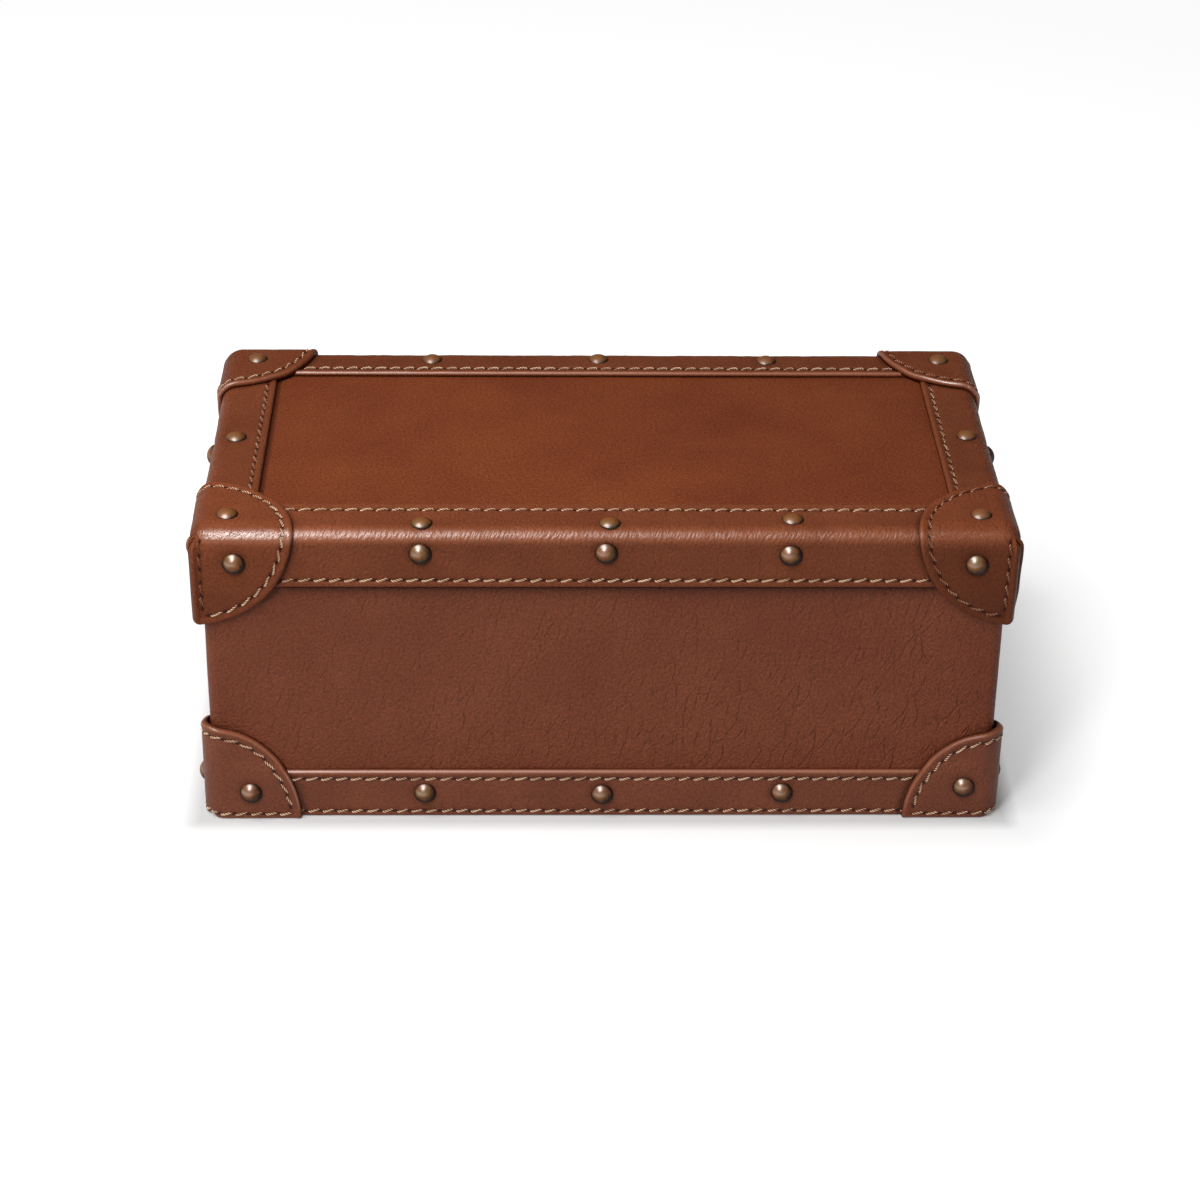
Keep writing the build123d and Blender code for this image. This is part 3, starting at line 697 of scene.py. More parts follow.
def lidCornerPiece(corner, signs, seed):
    reach, seamIn, overlap = lidCorner["reach"], lidCorner["seamIn"], lidCorner["overlap"][signs[0]]
    sweep = np.radians(spread(270, 1.5, [
        (0, 3.2, 0.42), (270, 3.2, 0.42), (90, 6, 1.0), (180, 6, 1.0), (5, 1.5, 0.5), (265, 1.5, 0.5)]))
    share = spread(reach, 0.9, [(reach, 0.9, 0.17), (reach - seamIn, 1.0, 0.32), (0, 1.0, 0.6)]) / reach
    edgeReach = lidCornerReach(sweep)
    rho = share[:, None] * edgeReach[None, :]
    theta = np.broadcast_to(sweep, rho.shape)
    pattern = lidCornerPattern(rho, theta)
    depth = pattern[..., 2]
    arcEdge, flapEdge = edgeReach[None, :] - rho, np.full_like(rho, noSeam)
    seamAt = lidCornerOval(theta) - seamIn
    onArc = (theta > 0.1) & (theta < 3 * quarter - 0.1)
    seams = [((reach - seamIn) * theta, np.where(onArc, rho - seamAt, noSeam))]
    closed = np.maximum(0, lidCorner["closed"] - depth) * 0.8  # near the point the flaps are still one piece
    for axis, here in enumerate((theta < quarter, theta > math.pi)):
        inset = pattern[..., axis]
        flapEdge = np.where(here, inset + closed, flapEdge)
        inRun = here & (depth > 3.5) & (rho < seamAt + 0.4)
        seams.append((depth, np.where(inRun, inset - seamIn, noSeam)))
    seam = nearestSeam(seams)
    px, py = rho * np.cos(theta), rho * np.sin(theta)
    relief = turnedEdge(np.minimum(arcEdge, flapEdge + 0.3)) * 0.9 + seamGroove(*seam)
    relief = relief + swells(px, py, lidCorner["uneven"], seed)
    bend = glow = np.zeros_like(rho)
    # folds: a band of wax and painted highlight, and bend wrinkles
    for fold, sign, shine in ((quarter, 1, lidCorner["glow"][signs[0]]), (math.pi, -1, 0.0)):
        near = np.abs(theta - fold) < 0.9
        down = rho * np.sin(fold - theta) * sign  # from the fold line towards the flap
        bend = np.maximum(bend, smooth(1.3 - np.abs(down) / 4.6) * near)
        glow = np.maximum(glow, np.exp(-((down - 1.9) / 3.0) ** 2) * near * shine)
    relief = relief + bend * 0.06 * waves(px - py * 0.5, py * 0.35, 1.9, seed + 6)
    # arc edges: wax and a painted highlight where the light falls
    rub = lidCorner["rub"][corner] * smooth(1.2 - depth / 14) * (flapEdge > arcEdge)
    rub = rub * (smooth((theta - 1.75) / 0.9) if signs[0] < 0 else 1)
    onLid, onFlap = lidCorner["tones"][corner]
    tone = onLid + (onFlap - onLid) * smooth(depth / 9)
    soft = np.where(flapEdge < arcEdge, 1.0, lidCorner["soft"])
    mid, normal = fromInsets(*lidCornerShape(rho, theta, overlap), signs, lidOuter, -1)
    name = "lid" + corner.title().replace("_", "") + "Corner"
    piece = leatherSheet(name, mid, normal, np.stack([py, px], -1) + seed * 53, np.minimum(arcEdge, flapEdge),
                         cornerThick, relief, cornerLeather, seam, bend, glow, rub, tone, soft)
    place(piece, "lid", "corner_leather", f"lid_{corner}_corner")
    arc = np.arange(0.115, 3 * quarter - 0.1, 0.01)
    down = np.arange(3.6, reach + lidCorner["longer"] - seamIn, 0.3)
    far, around = np.hypot(down, seamIn), np.arctan2(seamIn, down)
    runs = [(arc * (reach - seamIn), lidCornerOval(arc) - seamIn, arc),
            (down, far, around), (down, far, 3 * quarter - around)]
    seams = []
    for along, far, around in runs:
        spot, up = fromInsets(*lidCornerShape(far, around, overlap), signs, lidOuter, -1)
        seams.append((along, spot + up * (cornerThick / 2 - stitch["sunk"]), up))
    sew(name, "lid", seams, threadLightAndShade["lidCorner"][signs[0]])


for number, (corner, signs) in enumerate(cornerSigns.items()):
    lidCornerPiece(corner, signs, 31 + number)
print("lid corners folded")


# Base corners: half discs bent round the upright edge, standing off the wall at the top

def baseCornerPattern(rho, theta):  # insets from the side and front faces, and the height
    c, s = np.cos(theta), np.sin(theta)
    zero = np.zeros_like(rho)
    front = np.stack([rho * c, zero, rho * s], -1)
    side = np.stack([zero, -rho * c, rho * s], -1)
    return np.where((theta < quarter)[..., None], front, side)


def baseCornerShape(rho, theta):
    half, radius = cornerThick / 2, baseCorner["round"]
    pattern = baseCornerPattern(rho, theta)
    heart = np.maximum(pattern, radius)
    heart[..., 2] = height = pattern[..., 2]
    normal = unit(pattern - heart)
    across = pattern[..., 0] + pattern[..., 1]  # distance from the upright edge
    nearEdge = np.exp(-(across / baseCorner["footReach"]) ** 2)
    foot = baseCorner["footRound"]
    tuck = (foot - np.sqrt(foot ** 2 - np.clip(foot - height, 0, foot) ** 2)) * nearEdge * 0.8
    pull = baseCorner["pull"] * smooth((across - 5) / 11) * smooth((height - 18) / 5)
    spot = heart + normal * (radius - half - tuck - pull)[..., None]
    spot[..., 2] = height + baseCorner["footLift"] * nearEdge * np.exp(-height / 3)
    return spot, normal


def baseCornerReach(theta, taller):
    return baseCorner["reach"] * (1 - baseCorner["tall"] * np.cos(2 * theta)) + taller * np.sin(theta) ** 2


def baseCornerPiece(corner, signs, seed):
    reach, seamIn, footSeam = baseCorner["reach"], baseCorner["seamIn"], baseCorner["footSeam"]
    taller = baseCorner["taller"][corner]
    sweep = np.radians(spread(180, 1.5, [
        (0, 1.6, 0.3), (180, 1.6, 0.3), (90, 10, 1.2), (3.6, 1.2, 0.5), (176.4, 1.2, 0.5)]))
    share = spread(reach, 0.9, [(reach, 0.9, 0.17), (reach - seamIn, 1.0, 0.32), (0, 1.0, 0.6)]) / reach
    edgeReach = baseCornerReach(sweep, taller)
    rho = share[:, None] * edgeReach[None, :]
    theta = np.broadcast_to(sweep, rho.shape)
    height = baseCornerPattern(rho, theta)[..., 2]
    arcEdge = edgeReach[None, :] - rho
    edge = np.minimum(arcEdge, height + np.maximum(0, 1.5 - rho) * 0.6)
    px, py = rho * np.cos(theta), rho * np.sin(theta)
    onArc, onFoot = height > footSeam - 0.4, np.abs(px) < reach - seamIn
    seam = nearestSeam([((reach - seamIn) * theta, np.where(onArc, rho - (edgeReach[None, :] - seamIn), noSeam)),
                        (px, np.where(onFoot, height - footSeam, noSeam))])
    relief = turnedEdge(arcEdge) * 0.8 + turnedEdge(height) * 0.4 + seamGroove(*seam)
    relief = relief + swells(px, py, baseCorner["uneven"], seed)
    mid, normal = fromInsets(*baseCornerShape(rho, theta), signs, baseOuter, 1)
    name = "base" + corner.title().replace("_", "") + "Corner"
    piece = leatherSheet(name, mid, normal, np.stack([px, py], -1) + seed * 53, edge, cornerThick, relief,
                         footLeather, seam, rub=baseCorner["rub"][signs[0]] * smooth(height / 8),
                         soft=np.where(arcEdge < height, baseCorner["soft"], 0.9))
    place(piece, "base", "corner_leather", f"base_{corner}_corner")
    low = math.asin(footSeam / (reach - seamIn))
    arc = np.arange(low, math.pi - low, 0.01)
    across = np.arange(-(reach - seamIn), reach - seamIn, 0.3)
    runs = [(arc * (reach - seamIn), baseCornerReach(arc, taller) - seamIn, arc),
            (across, np.hypot(across, footSeam), np.arctan2(np.full_like(across, footSeam), across))]
    seams = []
    for along, far, around in runs:
        spot, up = fromInsets(*baseCornerShape(far, around), signs, baseOuter, 1)
        seams.append((along, spot + up * (cornerThick / 2 - stitch["sunk"]), up))
    sew(name, "base", seams, [threadLightAndShade["long"]] * len(seams))


for number, (corner, signs) in enumerate(cornerSigns.items()):
    baseCornerPiece(corner, signs, 41 + number)
print("base corners bent")


# Wall leather: one strip round the box, turned in over the rim, seam at the back

wall = {"thick": 1.2, "round": 3.7, "rimBend": 0.6, "turnIn": 5.0, "stepIn": 0.7, "gapDark": 0.4, "gapReach": 2.6,
        "gap": 0.3, "frontStep": 1.0, "otherStep": 1.7, "uneven": [(0.12, 31, 3), (0.05, 9, 5), (0.025, 3.1, 8)]}


def roundTheBox(radius):  # legs round the walls from the back's middle, and the places where they meet
    bend = radius * quarter
    long, short = 2 * (wallHalf["long"] - radius), 2 * (wallHalf["short"] - radius)
    halfBack = wallHalf["long"] - radius - wall["gap"] / 2
    legs = [(halfBack, 0), (bend, -90), (short, 0), (bend, -90), (long, 0),
            (bend, -90), (short, 0), (bend, -90), (halfBack, 0)]
    return legs, [0] + list(np.cumsum([length for length, turn in legs]))


def girdle(distance, legs, section, facing):  # a section led round the walls
    spots, outward = follow(distance, (wall["gap"] / 2, wallHalf["short"]), 0, legs)
    inside = np.array([wallHalf["long"], wallHalf["short"]]) + section[:, :1]  # past the corner's radius it is mitred
    level = np.clip(spots[:, None] + outward[:, None] * section[None, :, :1], -inside, inside)
    shape = (len(distance), len(section), 1)
    mid = np.concatenate([level, np.broadcast_to(section[None, :, 1:], shape)], -1)
    normal = np.concatenate([outward[:, None] * facing[None, :, :1], np.broadcast_to(facing[None, :, 1:], shape)], -1)
    return mid, normal


def wallPiece():
    half = wall["thick"] / 2
    legs, marks = roundTheBox(wall["round"])
    bendLength = wall["rimBend"] * quarter
    turnIn = wall["turnIn"] - half - wall["rimBend"]
    drop = lidRim - half - wall["rimBend"]
    total = turnIn + bendLength + drop
    rows = spread(total, 1.15, [(0, 0.6, 0.2), (total, 0.4, 0.3), (turnIn + bendLength / 2, 1.0, 0.25)])
    section, facing = follow(rows, (-wall["turnIn"], lidRim - half), 0, [(turnIn, 0), (bendLength, -90), (drop, 0)])
    front = (marks[4] + marks[5]) / 2
    fine = [((marks[i] + marks[i + 1]) / 2, 2.9, 0.55) for i in (1, 3, 5, 7)]
    fine += [(0, 0.6, 0.25), (marks[-1], 0.6, 0.25), (front, wallHalf["long"], wall["frontStep"])]
    distance = spread(marks[-1], wall["otherStep"], fine)
    mid, normal = girdle(distance, legs, section, facing)
    u, s = np.meshgrid(distance, rows, indexing="ij")
    edge = np.minimum(np.minimum(s, total - s + 0.3), np.minimum(u, marks[-1] - u) + 0.1)
    x, up = front - u, np.clip(total - s, 0, None)  # x runs to the right of the front
    worn = 0.55 + 0.45 * smooth(0.5 * x / wallHalf["long"] - up / 130 + 0.75)  # the hide is looser to the lower right
    below = np.clip(s - turnIn - bendLength, 0, None)
    tone = 1 - wall["gapDark"] * np.exp(-below / wall["gapReach"])  # painted shadow in the gap under the lid
    mid = mid - normal * (wall["stepIn"] * smooth(1 - (total - up - turnIn) / 6))[..., None]
    piece = leatherSheet("baseWallLeather", mid, normal, np.stack([u, s], -1), edge, wall["thick"],
                         swells(u, s, wall["uneven"], 0), wallLeather, tone=tone, worn=worn)
    place(piece, "base", "wall_leather", "base_wall_leather")


wallPiece()
print("wall wrapped")


# Lid leather: the polished field inside the bands, and the turned rim under the skirt

field = {"under": 4.0, "step": 1.4, "rimRound": 2.7, "rimTurn": 4.1, "rimBend": 0.6, "thick": 1.2, "rimUp": 9.0,
         "uneven": [(0.08, 34, 51), (0.03, 9, 52)], "press": 0.16, "pressReach": 1.6,
         "leftDark": 0.85, "leftReach": 1.1, "backDark": 0.5, "backReach": 0.7, "tilt": 0.06}


def lidField():
    half = field["thick"] / 2
    insideLong, insideShort = (bandOut[way] - lidBand["width"] + field["under"] for way in ("short", "long"))
    x, y = (spread(2 * inside, field["step"], [(0, 0.5, 0.3), (2 * inside, 0.5, 0.3)]) - inside
            for inside in (insideLong, insideShort))
    x, y = np.meshgrid(x, y, indexing="ij")
    edge = np.minimum(insideLong - np.abs(x), insideShort - np.abs(y))
    mid = np.stack([x, y, np.full_like(x, fieldTop - half)], -1)
    normal = np.zeros_like(mid)
    normal[..., 2] = 1
    relief = swells(x, y, field["uneven"], 0)
    relief = relief - field["press"] * np.exp(-((edge - field["under"]) / field["pressReach"]) ** 2)  # beside the bands
    fromLeft, fromBack = x + insideLong - field["under"], insideShort - y - field["under"]
    tone = 1 - field["leftDark"] * np.exp(-(fromLeft / field["leftReach"]) ** 2)  # painted shadow in the groove beside the left and back bands
    tone = tone - field["backDark"] * np.exp(-(fromBack / field["backReach"]) ** 2) * (fromLeft > 0)
    # painted light: lighter at the left, darker at the right
    tone = np.clip(tone * (1 - field["tilt"] * x / insideLong), 0.1, 1)
    piece = leatherSheet("lidFieldLeather", mid, normal, np.stack([x, y], -1) + 700, edge, field["thick"], relief,
                         fieldLeather, tone=tone)
    place(piece, "lid", "lid_leather", "lid_leather")


def lidTurnedRim():
    half = field["thick"] / 2
    legs, marks = roundTheBox(field["rimRound"])
    bendLength = field["rimBend"] * quarter
    turnIn = field["rimTurn"] - half - field["rimBend"]
    drop = field["rimUp"] - half - field["rimBend"]
    total = drop + bendLength + turnIn
    rows = spread(total, 1.5, [(0, 0.5, 0.3), (total, 0.6, 0.2), (drop + bendLength / 2, 0.8, 0.3)])
    section, facing = follow(rows, (-half, lidRim + field["rimUp"]), 270, [(drop, 0), (bendLength, -90), (turnIn, 0)])
    distance = spread(marks[-1], 3.0, [((marks[i] + marks[i + 1]) / 2, 2.2, 0.5) for i in (1, 3, 5, 7)])
    mid, normal = girdle(distance, legs, section, facing)
    u, s = np.meshgrid(distance, rows, indexing="ij")
    edge = np.minimum(np.minimum(s, total - s), np.minimum(u, marks[-1] - u) + 0.1)
    rim = leatherSheet("lidRimLeather", mid, normal, np.stack([u, s], -1) + 900, edge, field["thick"],
                       0.04 * waves(u, s, 7, 53), fieldLeather)
    place(rim, "lid", "lid_leather")


lidField()
lidTurnedRim()
print("lid covered")


# Nails: cast brass, darkened with liver of sulphur and rubbed bright on the crown

brass = {
    "patina": "#26170f", "rubbed": "#9a5c2e", "olive": "#8b642c", "metal": 0.3, "gloss": 0.32, "lacquer": 2.3,
    "sheen": 0.25, "blotchMm": 1.6, "stainMm": 3.1, "pitMm": 0.7, "pitDeep": 0.06,
    "worn": (-0.4, -0.35, 0.85), "crownUp": 0.42, "crownRub": 0.78, "grimeUp": 0.22, "grimeDark": 0.35,
    "lacquerSide": (-0.25, -0.70, 0.66), "lacquerFrom": 0.66, "lacquerReach": 0.27, "grimeDull": 0.6,
}


def antiqueBrass():
    material, tree, shader = newMaterial("castBrassAntiquedRubbed")
    spot = addNode(tree, "ShaderNodeTexCoord", {}, {}, "Object")
    crown = addNode(tree, "ShaderNodeAttribute", {"attribute_name": "crown"}, {}, "Fac")
    blotch = addNode(tree, "ShaderNodeTexNoise", {}, {
        "Vector": spot, "Scale": perMillimetre(brass["blotchMm"]), "Detail": 4.0, "Roughness": 0.65})
    rubbed = addNode(tree, "ShaderNodeMath", timesPlus, {0: blotch, 1: 0.9, 2: crown})
    bright = addNode(tree, "ShaderNodeMapRange", {}, {0: rubbed, 1: 0.7, 2: 1.45})
    stain = addNode(tree, "ShaderNodeTexNoise", {}, {
        "Vector": spot, "Scale": perMillimetre(brass["stainMm"]), "Detail": 3.0})
    stain = addNode(tree, "ShaderNodeMapRange", {}, {0: stain, 1: 0.45, 2: 0.68})
    metal = addNode(tree, "ShaderNodeMix", colourMix, {
        0: stain, 6: hexToLinear(brass["rubbed"]), 7: hexToLinear(brass["olive"])}, 2)
    colour = addNode(tree, "ShaderNodeMix", colourMix, {0: bright, 6: hexToLinear(brass["patina"]), 7: metal}, 2)
    rough = addNode(tree, "ShaderNodeMapRange", {}, {0: bright, 3: 0.55, 4: 0.42})
    pit = addNode(tree, "ShaderNodeTexNoise", {}, {
        "Vector": spot, "Scale": perMillimetre(brass["pitMm"]), "Detail": 2.0})
    bump = addNode(tree, "ShaderNodeBump", {}, {"Strength": 0.35, "Distance": brass["pitDeep"] * mm, "Height": pit})
    lacquered = addNode(tree, "ShaderNodeAttribute", {  # grime dulls the underside
        "attribute_name": "lacquer"}, {}, "Fac")
    setInputs(tree, shader, {
        "Base Color": colour, "Roughness": rough, "Normal": bump, "Specular IOR Level": brass["sheen"],
        "Metallic": brass["metal"],  # the brown skin of sulphide hides most of the metal
        "Coat Weight": lacquered, "Coat Roughness": brass["gloss"], "Coat IOR": brass["lacquer"]})
    return material


nailBrass = antiqueBrass()


def nailsPiece(name, spots, facing, body, node):
    radius, rise = nailHead["flatter"].get(node, (nailHead["radius"], nailHead["rise"]))
    sunk = nailHead["sunk"]
    ball = (radius ** 2 + rise ** 2) / (2 * rise)  # the head is a cap of a ball of this radius
    tilt = np.linspace(math.asin(radius / ball), 0, nailHead["rings"])
    far = np.concatenate([[radius * 0.6, radius * 0.97, radius], ball * np.sin(tilt)])
    up = np.concatenate([[-sunk, -sunk, -sunk * 0.6], ball * np.cos(tilt) - ball + rise])
    lean = np.concatenate([[quarter] * 3, tilt])[:, None, None]
    around = np.arange(nailHead["turns"] + 1) / nailHead["turns"] * 2 * math.pi
    facing = np.array(facing, float)
    across = np.array([0, 0, 1.0]) if abs(facing[2]) < 0.5 else np.array([1.0, 0, 0])
    ringFar, ringAround = np.meshgrid(far, around, indexing="ij")
    ringUp = np.broadcast_to(up[:, None], ringFar.shape)
    flat = np.cos(ringAround)[..., None] * across + np.sin(ringAround)[..., None] * np.cross(facing, across)
    normal = flat * np.sin(lean) + facing * np.cos(lean)
    grime = np.exp(-(np.clip(ringUp, 0, None) / (brass["grimeUp"] * rise)) ** 2)
    rubbed = normal @ np.array(brass["worn"])  # lighter on the upper left side: rubbing there, and painted light from the upper left
    crown = np.clip(ringUp / rise, 0, 1) * brass["crownUp"] + brass["crownRub"] * rubbed - brass["grimeDark"] * grime
    lit = (normal @ np.array(brass["lacquerSide"]) - brass["lacquerFrom"]) / brass["lacquerReach"]
    lacquer = smooth(lit) * (1 - brass["grimeDull"] * grime)
    px, py, cap = ringFar * np.cos(ringAround), ringFar * np.sin(ringAround), (ringFar < radius * 0.98) * (ringUp > 0)
    points, faces = [], []
    for number, spot in enumerate(spots):
        wobble = nailHead["wobble"] * waves(px + number * 40, py, nailHead["wobbleMm"], 61) * cap
        points.append((spot + flat * ringFar[..., None] + facing * (ringUp + wobble)[..., None]).reshape(-1, 3))
        faces.append(gridFaces(len(far), len(around), True) + number * ringFar.size)
    values = {"crown": np.tile(crown.reshape(-1), len(spots)), "lacquer": np.tile(lacquer.reshape(-1), len(spots))}
    piece = addPiece(name, np.concatenate(points), np.concatenate(faces), nailBrass, None, values)
    place(piece, body, "antique_brass", node)


for node, group in nails.items():
    words = node.split("_")
    nailsPiece(words[0] + "".join(w.title() for w in words[1:]), group, nailNodes[node], words[0], node)
print("nails set")


# Suede: split cowhide with a raised nap; matte, soft at grazing angles, brushed patches

suede = {"brushedMm": 19, "napMm": 0.6, "napDeep": 0.12,
         "lining": ("#9b7b5a", "#b8987a"), "foot": ("#6b5140", "#7c604c")}
slabs = {"collar": (0.8, 3.0, 0.12), "skirt": (0.25, 3.0, 0.05), "pad": (0.9, 2.2, 0.5),  # edge radius, step, crown
         "top": (0.5, 2.6, 0.15), "underside": (0.5, 2.6, 0.0)}


def splitSuede(name, dark, light):
    material, tree, shader = newMaterial(name)
    spot = addNode(tree, "ShaderNodeTexCoord", {}, {}, "Object")
    brushed = addNode(tree, "ShaderNodeTexNoise", {}, {
        "Vector": spot, "Scale": perMillimetre(suede["brushedMm"]), "Detail": 5.0, "Roughness": 0.6})
    nap = addNode(tree, "ShaderNodeTexNoise", {}, {
        "Vector": spot, "Scale": perMillimetre(suede["napMm"]), "Detail": 3.0})
    tone = addNode(tree, "ShaderNodeMath", timesPlus, {0: nap, 1: 0.5, 2: brushed})
    share = addNode(tree, "ShaderNodeMapRange", {}, {0: tone, 1: 0.5, 2: 1.0})
    colour = addNode(tree, "ShaderNodeMix", colourMix, {0: share, 6: hexToLinear(dark), 7: hexToLinear(light)}, 2)
    bump = addNode(tree, "ShaderNodeBump", {}, {"Strength": 0.6, "Distance": suede["napDeep"] * mm, "Height": nap})
    setInputs(tree, shader, {
        "Base Color": colour, "Normal": bump, "Roughness": 0.9, "Specular IOR Level": 0.15,
        "Sheen Weight": 0.25, "Sheen Roughness": 0.5})
    return material


liningSuede = splitSuede("splitCowhideNappedLining", *suede["lining"])
footSuede = splitSuede("splitCowhideNappedFoot", *suede["foot"])


def softSlab(name, node, material, body, slotName, form, seed):  # a slab with soft edges and an uneven face
    radius, step, crown = slabs[form]
    low, high = nodeBox(node)
    middle, half = (low + high) / 2, (high - low) / 2
    radius = min(radius, half.min() * 0.98)
    lines = [spread(2 * h, step, [(0, radius, radius * 0.35), (2 * h, radius, radius * 0.35)]) - h for h in half]
    points, faces, count = [], [], 0
    for axis in range(3):
        a, b = (axis + 1) % 3, (axis + 2) % 3
        for sign in (-1, 1):
            ga, gb = np.meshgrid(lines[a], lines[b], indexing="ij")
            spot = np.zeros(ga.shape + (3,))
            spot[..., a], spot[..., b], spot[..., axis] = ga, gb, sign * half[axis]
            points.append(spot.reshape(-1, 3))
            faces.append(gridFaces(*ga.shape, sign < 0) + count)
            count += ga.size
    points = np.concatenate(points)
    heart = np.clip(points, -half + radius, half - radius)
    points = heart + unit(points - heart) * radius
    thin = int(np.argmin(half))
    others = [i for i in range(3) if i != thin]
    inside = np.prod([1 - (points[:, i] / half[i]) ** 6 for i in others], axis=0)
    uneven = 0.6 + 0.4 * waves(points[:, others[0]], points[:, others[1]], 24, seed)
    onFace = np.sign(points[:, thin]) * (np.abs(points[:, thin]) > half[thin] * 0.9)
    points[:, thin] += onFace * crown * (inside * uneven - 0.5)
    piece = addPiece(name, points + middle, np.concatenate(faces), material)
    place(piece, body, slotName, node)
    return piece


for number, side in enumerate(sides):
    word = side.title()
    softSlab(f"collar{word}Panel", f"collar_{side}_panel", liningSuede, "base", "lining_suede", "collar", 71 + number)
    softSlab(f"lid{word}Lining", f"lid_{side}_lining", liningSuede, "lid", "lining_suede", "skirt", 76 + number)
pad = softSlab("baseFloorPad", "base_floor_pad", liningSuede, "base", "lining_suede", "pad", 81)
softSlab("lidTopLining", "lid_top_lining", liningSuede, "lid", "lining_suede", "top", 82)
softSlab("baseUndersideSheet", "base_underside_sheet", footSuede, "base", "underside_suede", "underside", 83)
print("linings laid")


# Boards: birch plywood, sawn; thin pale and darker plies on the edges, seen only beside the rim

birch = {"dark": "#a98557", "light": "#d0b184", "figureMm": 2.2, "figureDeep": 0.1, "stretch": (0.12, 0.12, 1.0)}


def birchPlywood():
    material, tree, shader = newMaterial("birchPlywoodSawn")
    spot = addNode(tree, "ShaderNodeTexCoord", {}, {}, "Object")
    stretched = addNode(tree, "ShaderNodeMapping", {}, {"Vector": spot, "Scale": birch["stretch"]})
    figure = addNode(tree, "ShaderNodeTexNoise", {}, {
        "Vector": stretched, "Scale": perMillimetre(birch["figureMm"]), "Detail": 4.0})
    colour = addNode(tree, "ShaderNodeMix", colourMix, {
        0: figure, 6: hexToLinear(birch["dark"]), 7: hexToLinear(birch["light"])}, 2)
    bump = addNode(tree, "ShaderNodeBump", {}, {
        "Strength": 0.4, "Distance": birch["figureDeep"] * mm, "Height": figure})
    setInputs(tree, shader, {"Base Color": colour, "Normal": bump, "Roughness": 0.7})
    return material


plywood = birchPlywood()
for node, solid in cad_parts.items():
    if node.endswith("_board"):
        if not solid.material_slots:
            solid.data.materials.append(plywood)
        for holder in solid.material_slots:
            holder.material = plywood
print("boards finished")


# Floor, light and camera

studio = {
    "floorSize": 60.0, "floor": "#c9c9c9",
    # the glow is lower near the box: a painted shadow round it
    "glowAt": 0.14, "glowNear": 0.44, "glowFar": 0.78, "glowClose": 0.006, "glowReach": 0.05,
    "world": "#ffffff", "worldStrength": 0.12, "lampAim": (0, 0, 0.06),
    "keySoftbox": {"at": (-0.36, -0.76, 0.82), "size": (0.22, 0.6), "power": 6.4},
    "overheadSoftbox": {"at": (-0.36, -0.25, 0.85), "size": (0.5, 0.5), "power": 4.8},
}
photoView = {"tilt": 29.653, "turn": 1.6156, "roll": 0.8247, "distance": 1036.30, "aim": (0.0662, 0.0, 44.075),
             "focalPixels": 3017.0, "framePixels": 1200}


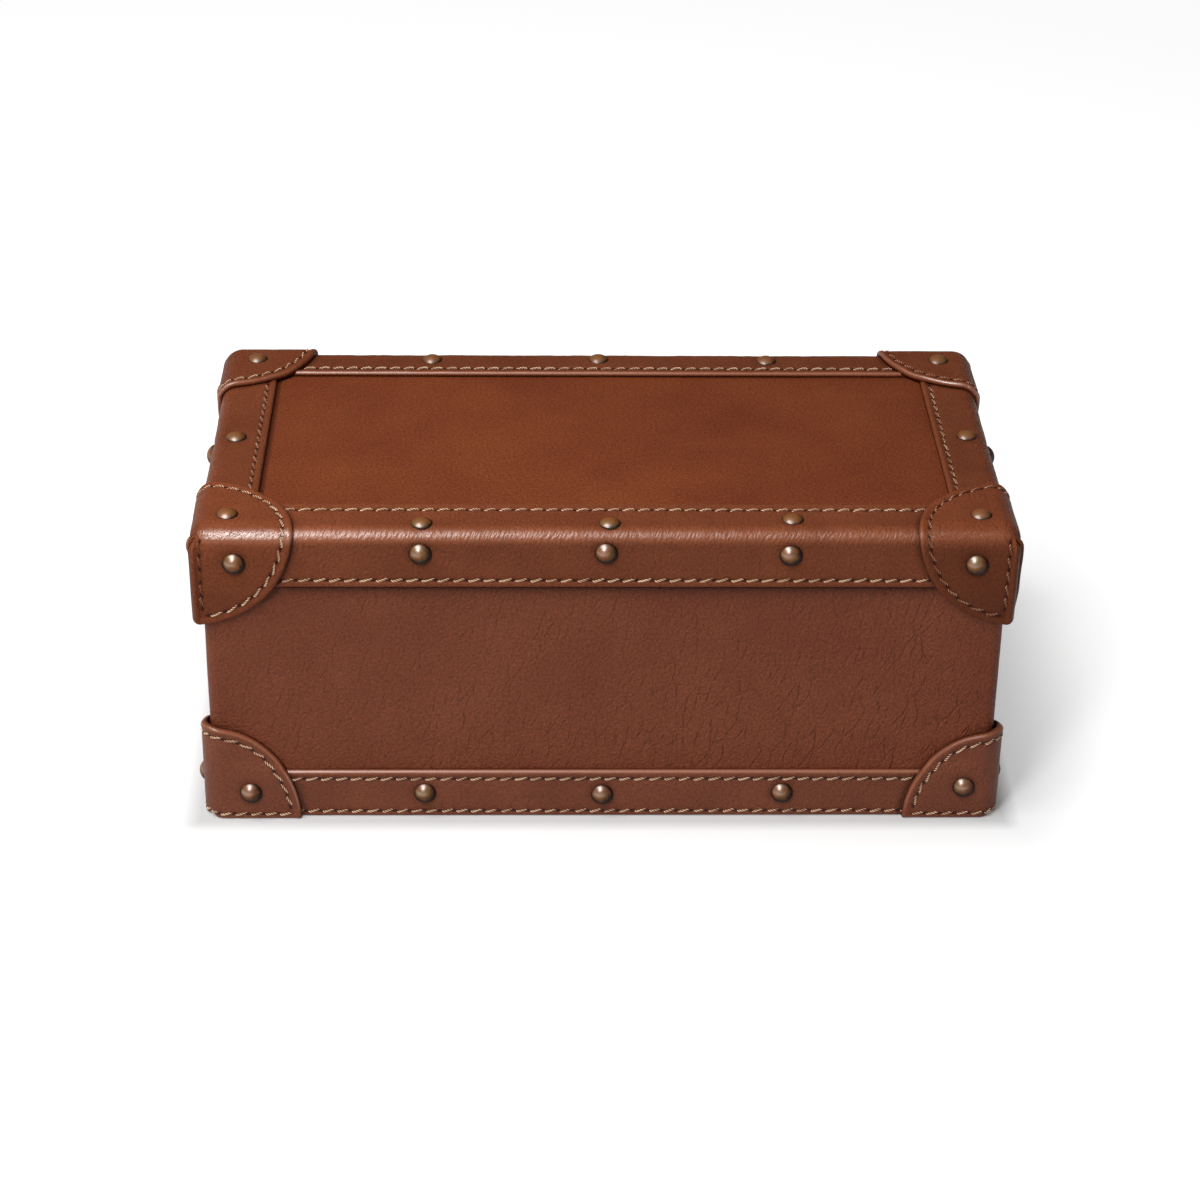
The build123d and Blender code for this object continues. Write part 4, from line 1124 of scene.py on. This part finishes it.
def addFloor():
    half = studio["floorSize"] / 2
    mesh = bpy.data.meshes.new("paperFloor")
    mesh.from_pydata([(-half, -half, 0), (half, -half, 0), (half, half, 0), (-half, half, 0)], [], [(0, 1, 2, 3)])
    material, tree, shader = newMaterial("seamlessPaperMatt")  # uncoated white background paper: flat and shineless
    path = addNode(tree, "ShaderNodeLightPath", {}, {}).node.outputs
    seen = path["Is Camera Ray"]
    for ray in ("Is Glossy Ray", "Is Transmission Ray"):
        seen = addNode(tree, "ShaderNodeMath", {"operation": "MAXIMUM"}, {0: seen, 1: path[ray]})
    spot = addNode(tree, "ShaderNodeTexCoord", {}, {}, "Object")
    away = addNode(tree, "ShaderNodeVectorMath", {"operation": "ABSOLUTE"}, {0: spot})
    away = addNode(tree, "ShaderNodeVectorMath", {"operation": "SUBTRACT"}, {0: away, 1: tuple(cadBox[1])})
    away = addNode(tree, "ShaderNodeVectorMath", {"operation": "MAXIMUM"}, {0: away, 1: (0, 0, 0)})
    away = addNode(tree, "ShaderNodeVectorMath", {"operation": "LENGTH"}, {0: away}, "Value")  # distance from the box
    # painted shadow round the box: the glow is lower near it and lowest at its foot
    glow = addNode(tree, "ShaderNodeMapRange", softly, {
        0: away, 1: 0.0, 2: studio["glowReach"], 3: studio["glowNear"], 4: studio["glowFar"]})
    contactShadow = addNode(tree, "ShaderNodeMapRange", {}, {
        0: away, 1: 0.0, 2: studio["glowClose"], 3: studio["glowAt"] / studio["glowNear"], 4: 1.0})
    for share in (contactShadow, seen):
        glow = addNode(tree, "ShaderNodeMath", times, {0: share, 1: glow})
    setInputs(tree, shader, {
        "Base Color": hexToLinear(studio["floor"]), "Roughness": 1.0, "Specular IOR Level": 0.0,
        "Emission Color": (1, 1, 1, 1), "Emission Strength": glow})
    mesh.materials.append(material)
    floor = bpy.data.objects.new("paperFloor", mesh)
    scene.collection.objects.link(floor)


def addLamp(name):
    settings = studio[name]
    lamp = bpy.data.lights.new(name, "AREA")
    lamp.shape = "RECTANGLE"
    lamp.size, lamp.size_y = settings["size"]
    lamp.energy = settings["power"]
    holder = bpy.data.objects.new(name, lamp)
    holder.location = settings["at"]
    holder.rotation_mode = "QUATERNION"
    holder.rotation_quaternion = (Vector(studio["lampAim"]) - Vector(settings["at"])).to_track_quat("-Z", "Y")
    scene.collection.objects.link(holder)


def addCamera():
    tilt, turn, roll = (math.radians(photoView[key]) for key in ("tilt", "turn", "roll"))
    ahead = Vector((0, math.cos(tilt), -math.sin(tilt)))
    level, rise = Vector((1, 0, 0)), Vector((0, math.sin(tilt), math.cos(tilt)))
    right = level * math.cos(roll) + rise * math.sin(roll)
    up = rise * math.cos(roll) - level * math.sin(roll)
    eye = (Vector(photoView["aim"]) - ahead * photoView["distance"]) * mm
    turnBack = Matrix.Rotation(-turn, 3, "Z")
    right, up, ahead, eye = (turnBack @ v for v in (right, up, ahead, eye))
    camera = bpy.data.cameras.new("camera")
    camera.sensor_width = 36.0
    camera.lens = photoView["focalPixels"] / photoView["framePixels"] * camera.sensor_width
    camera.clip_start, camera.clip_end = 0.01, 50
    holder = bpy.data.objects.new("camera", camera)
    holder.matrix_world = Matrix([[right[i], up[i], -ahead[i], eye[i]] for i in range(3)] + [[0, 0, 0, 1]])
    scene.collection.objects.link(holder)
    scene.camera = holder


addFloor()
addLamp("keySoftbox")
addLamp("overheadSoftbox")
world = bpy.data.worlds.new("studio")
world.use_nodes = True
setInputs(world.node_tree, world.node_tree.nodes["Background"], {
    "Color": hexToLinear(studio["world"]), "Strength": studio["worldStrength"]})
scene.world = world
addCamera()
print("studio lit")

bpy.context.view_layer.update()
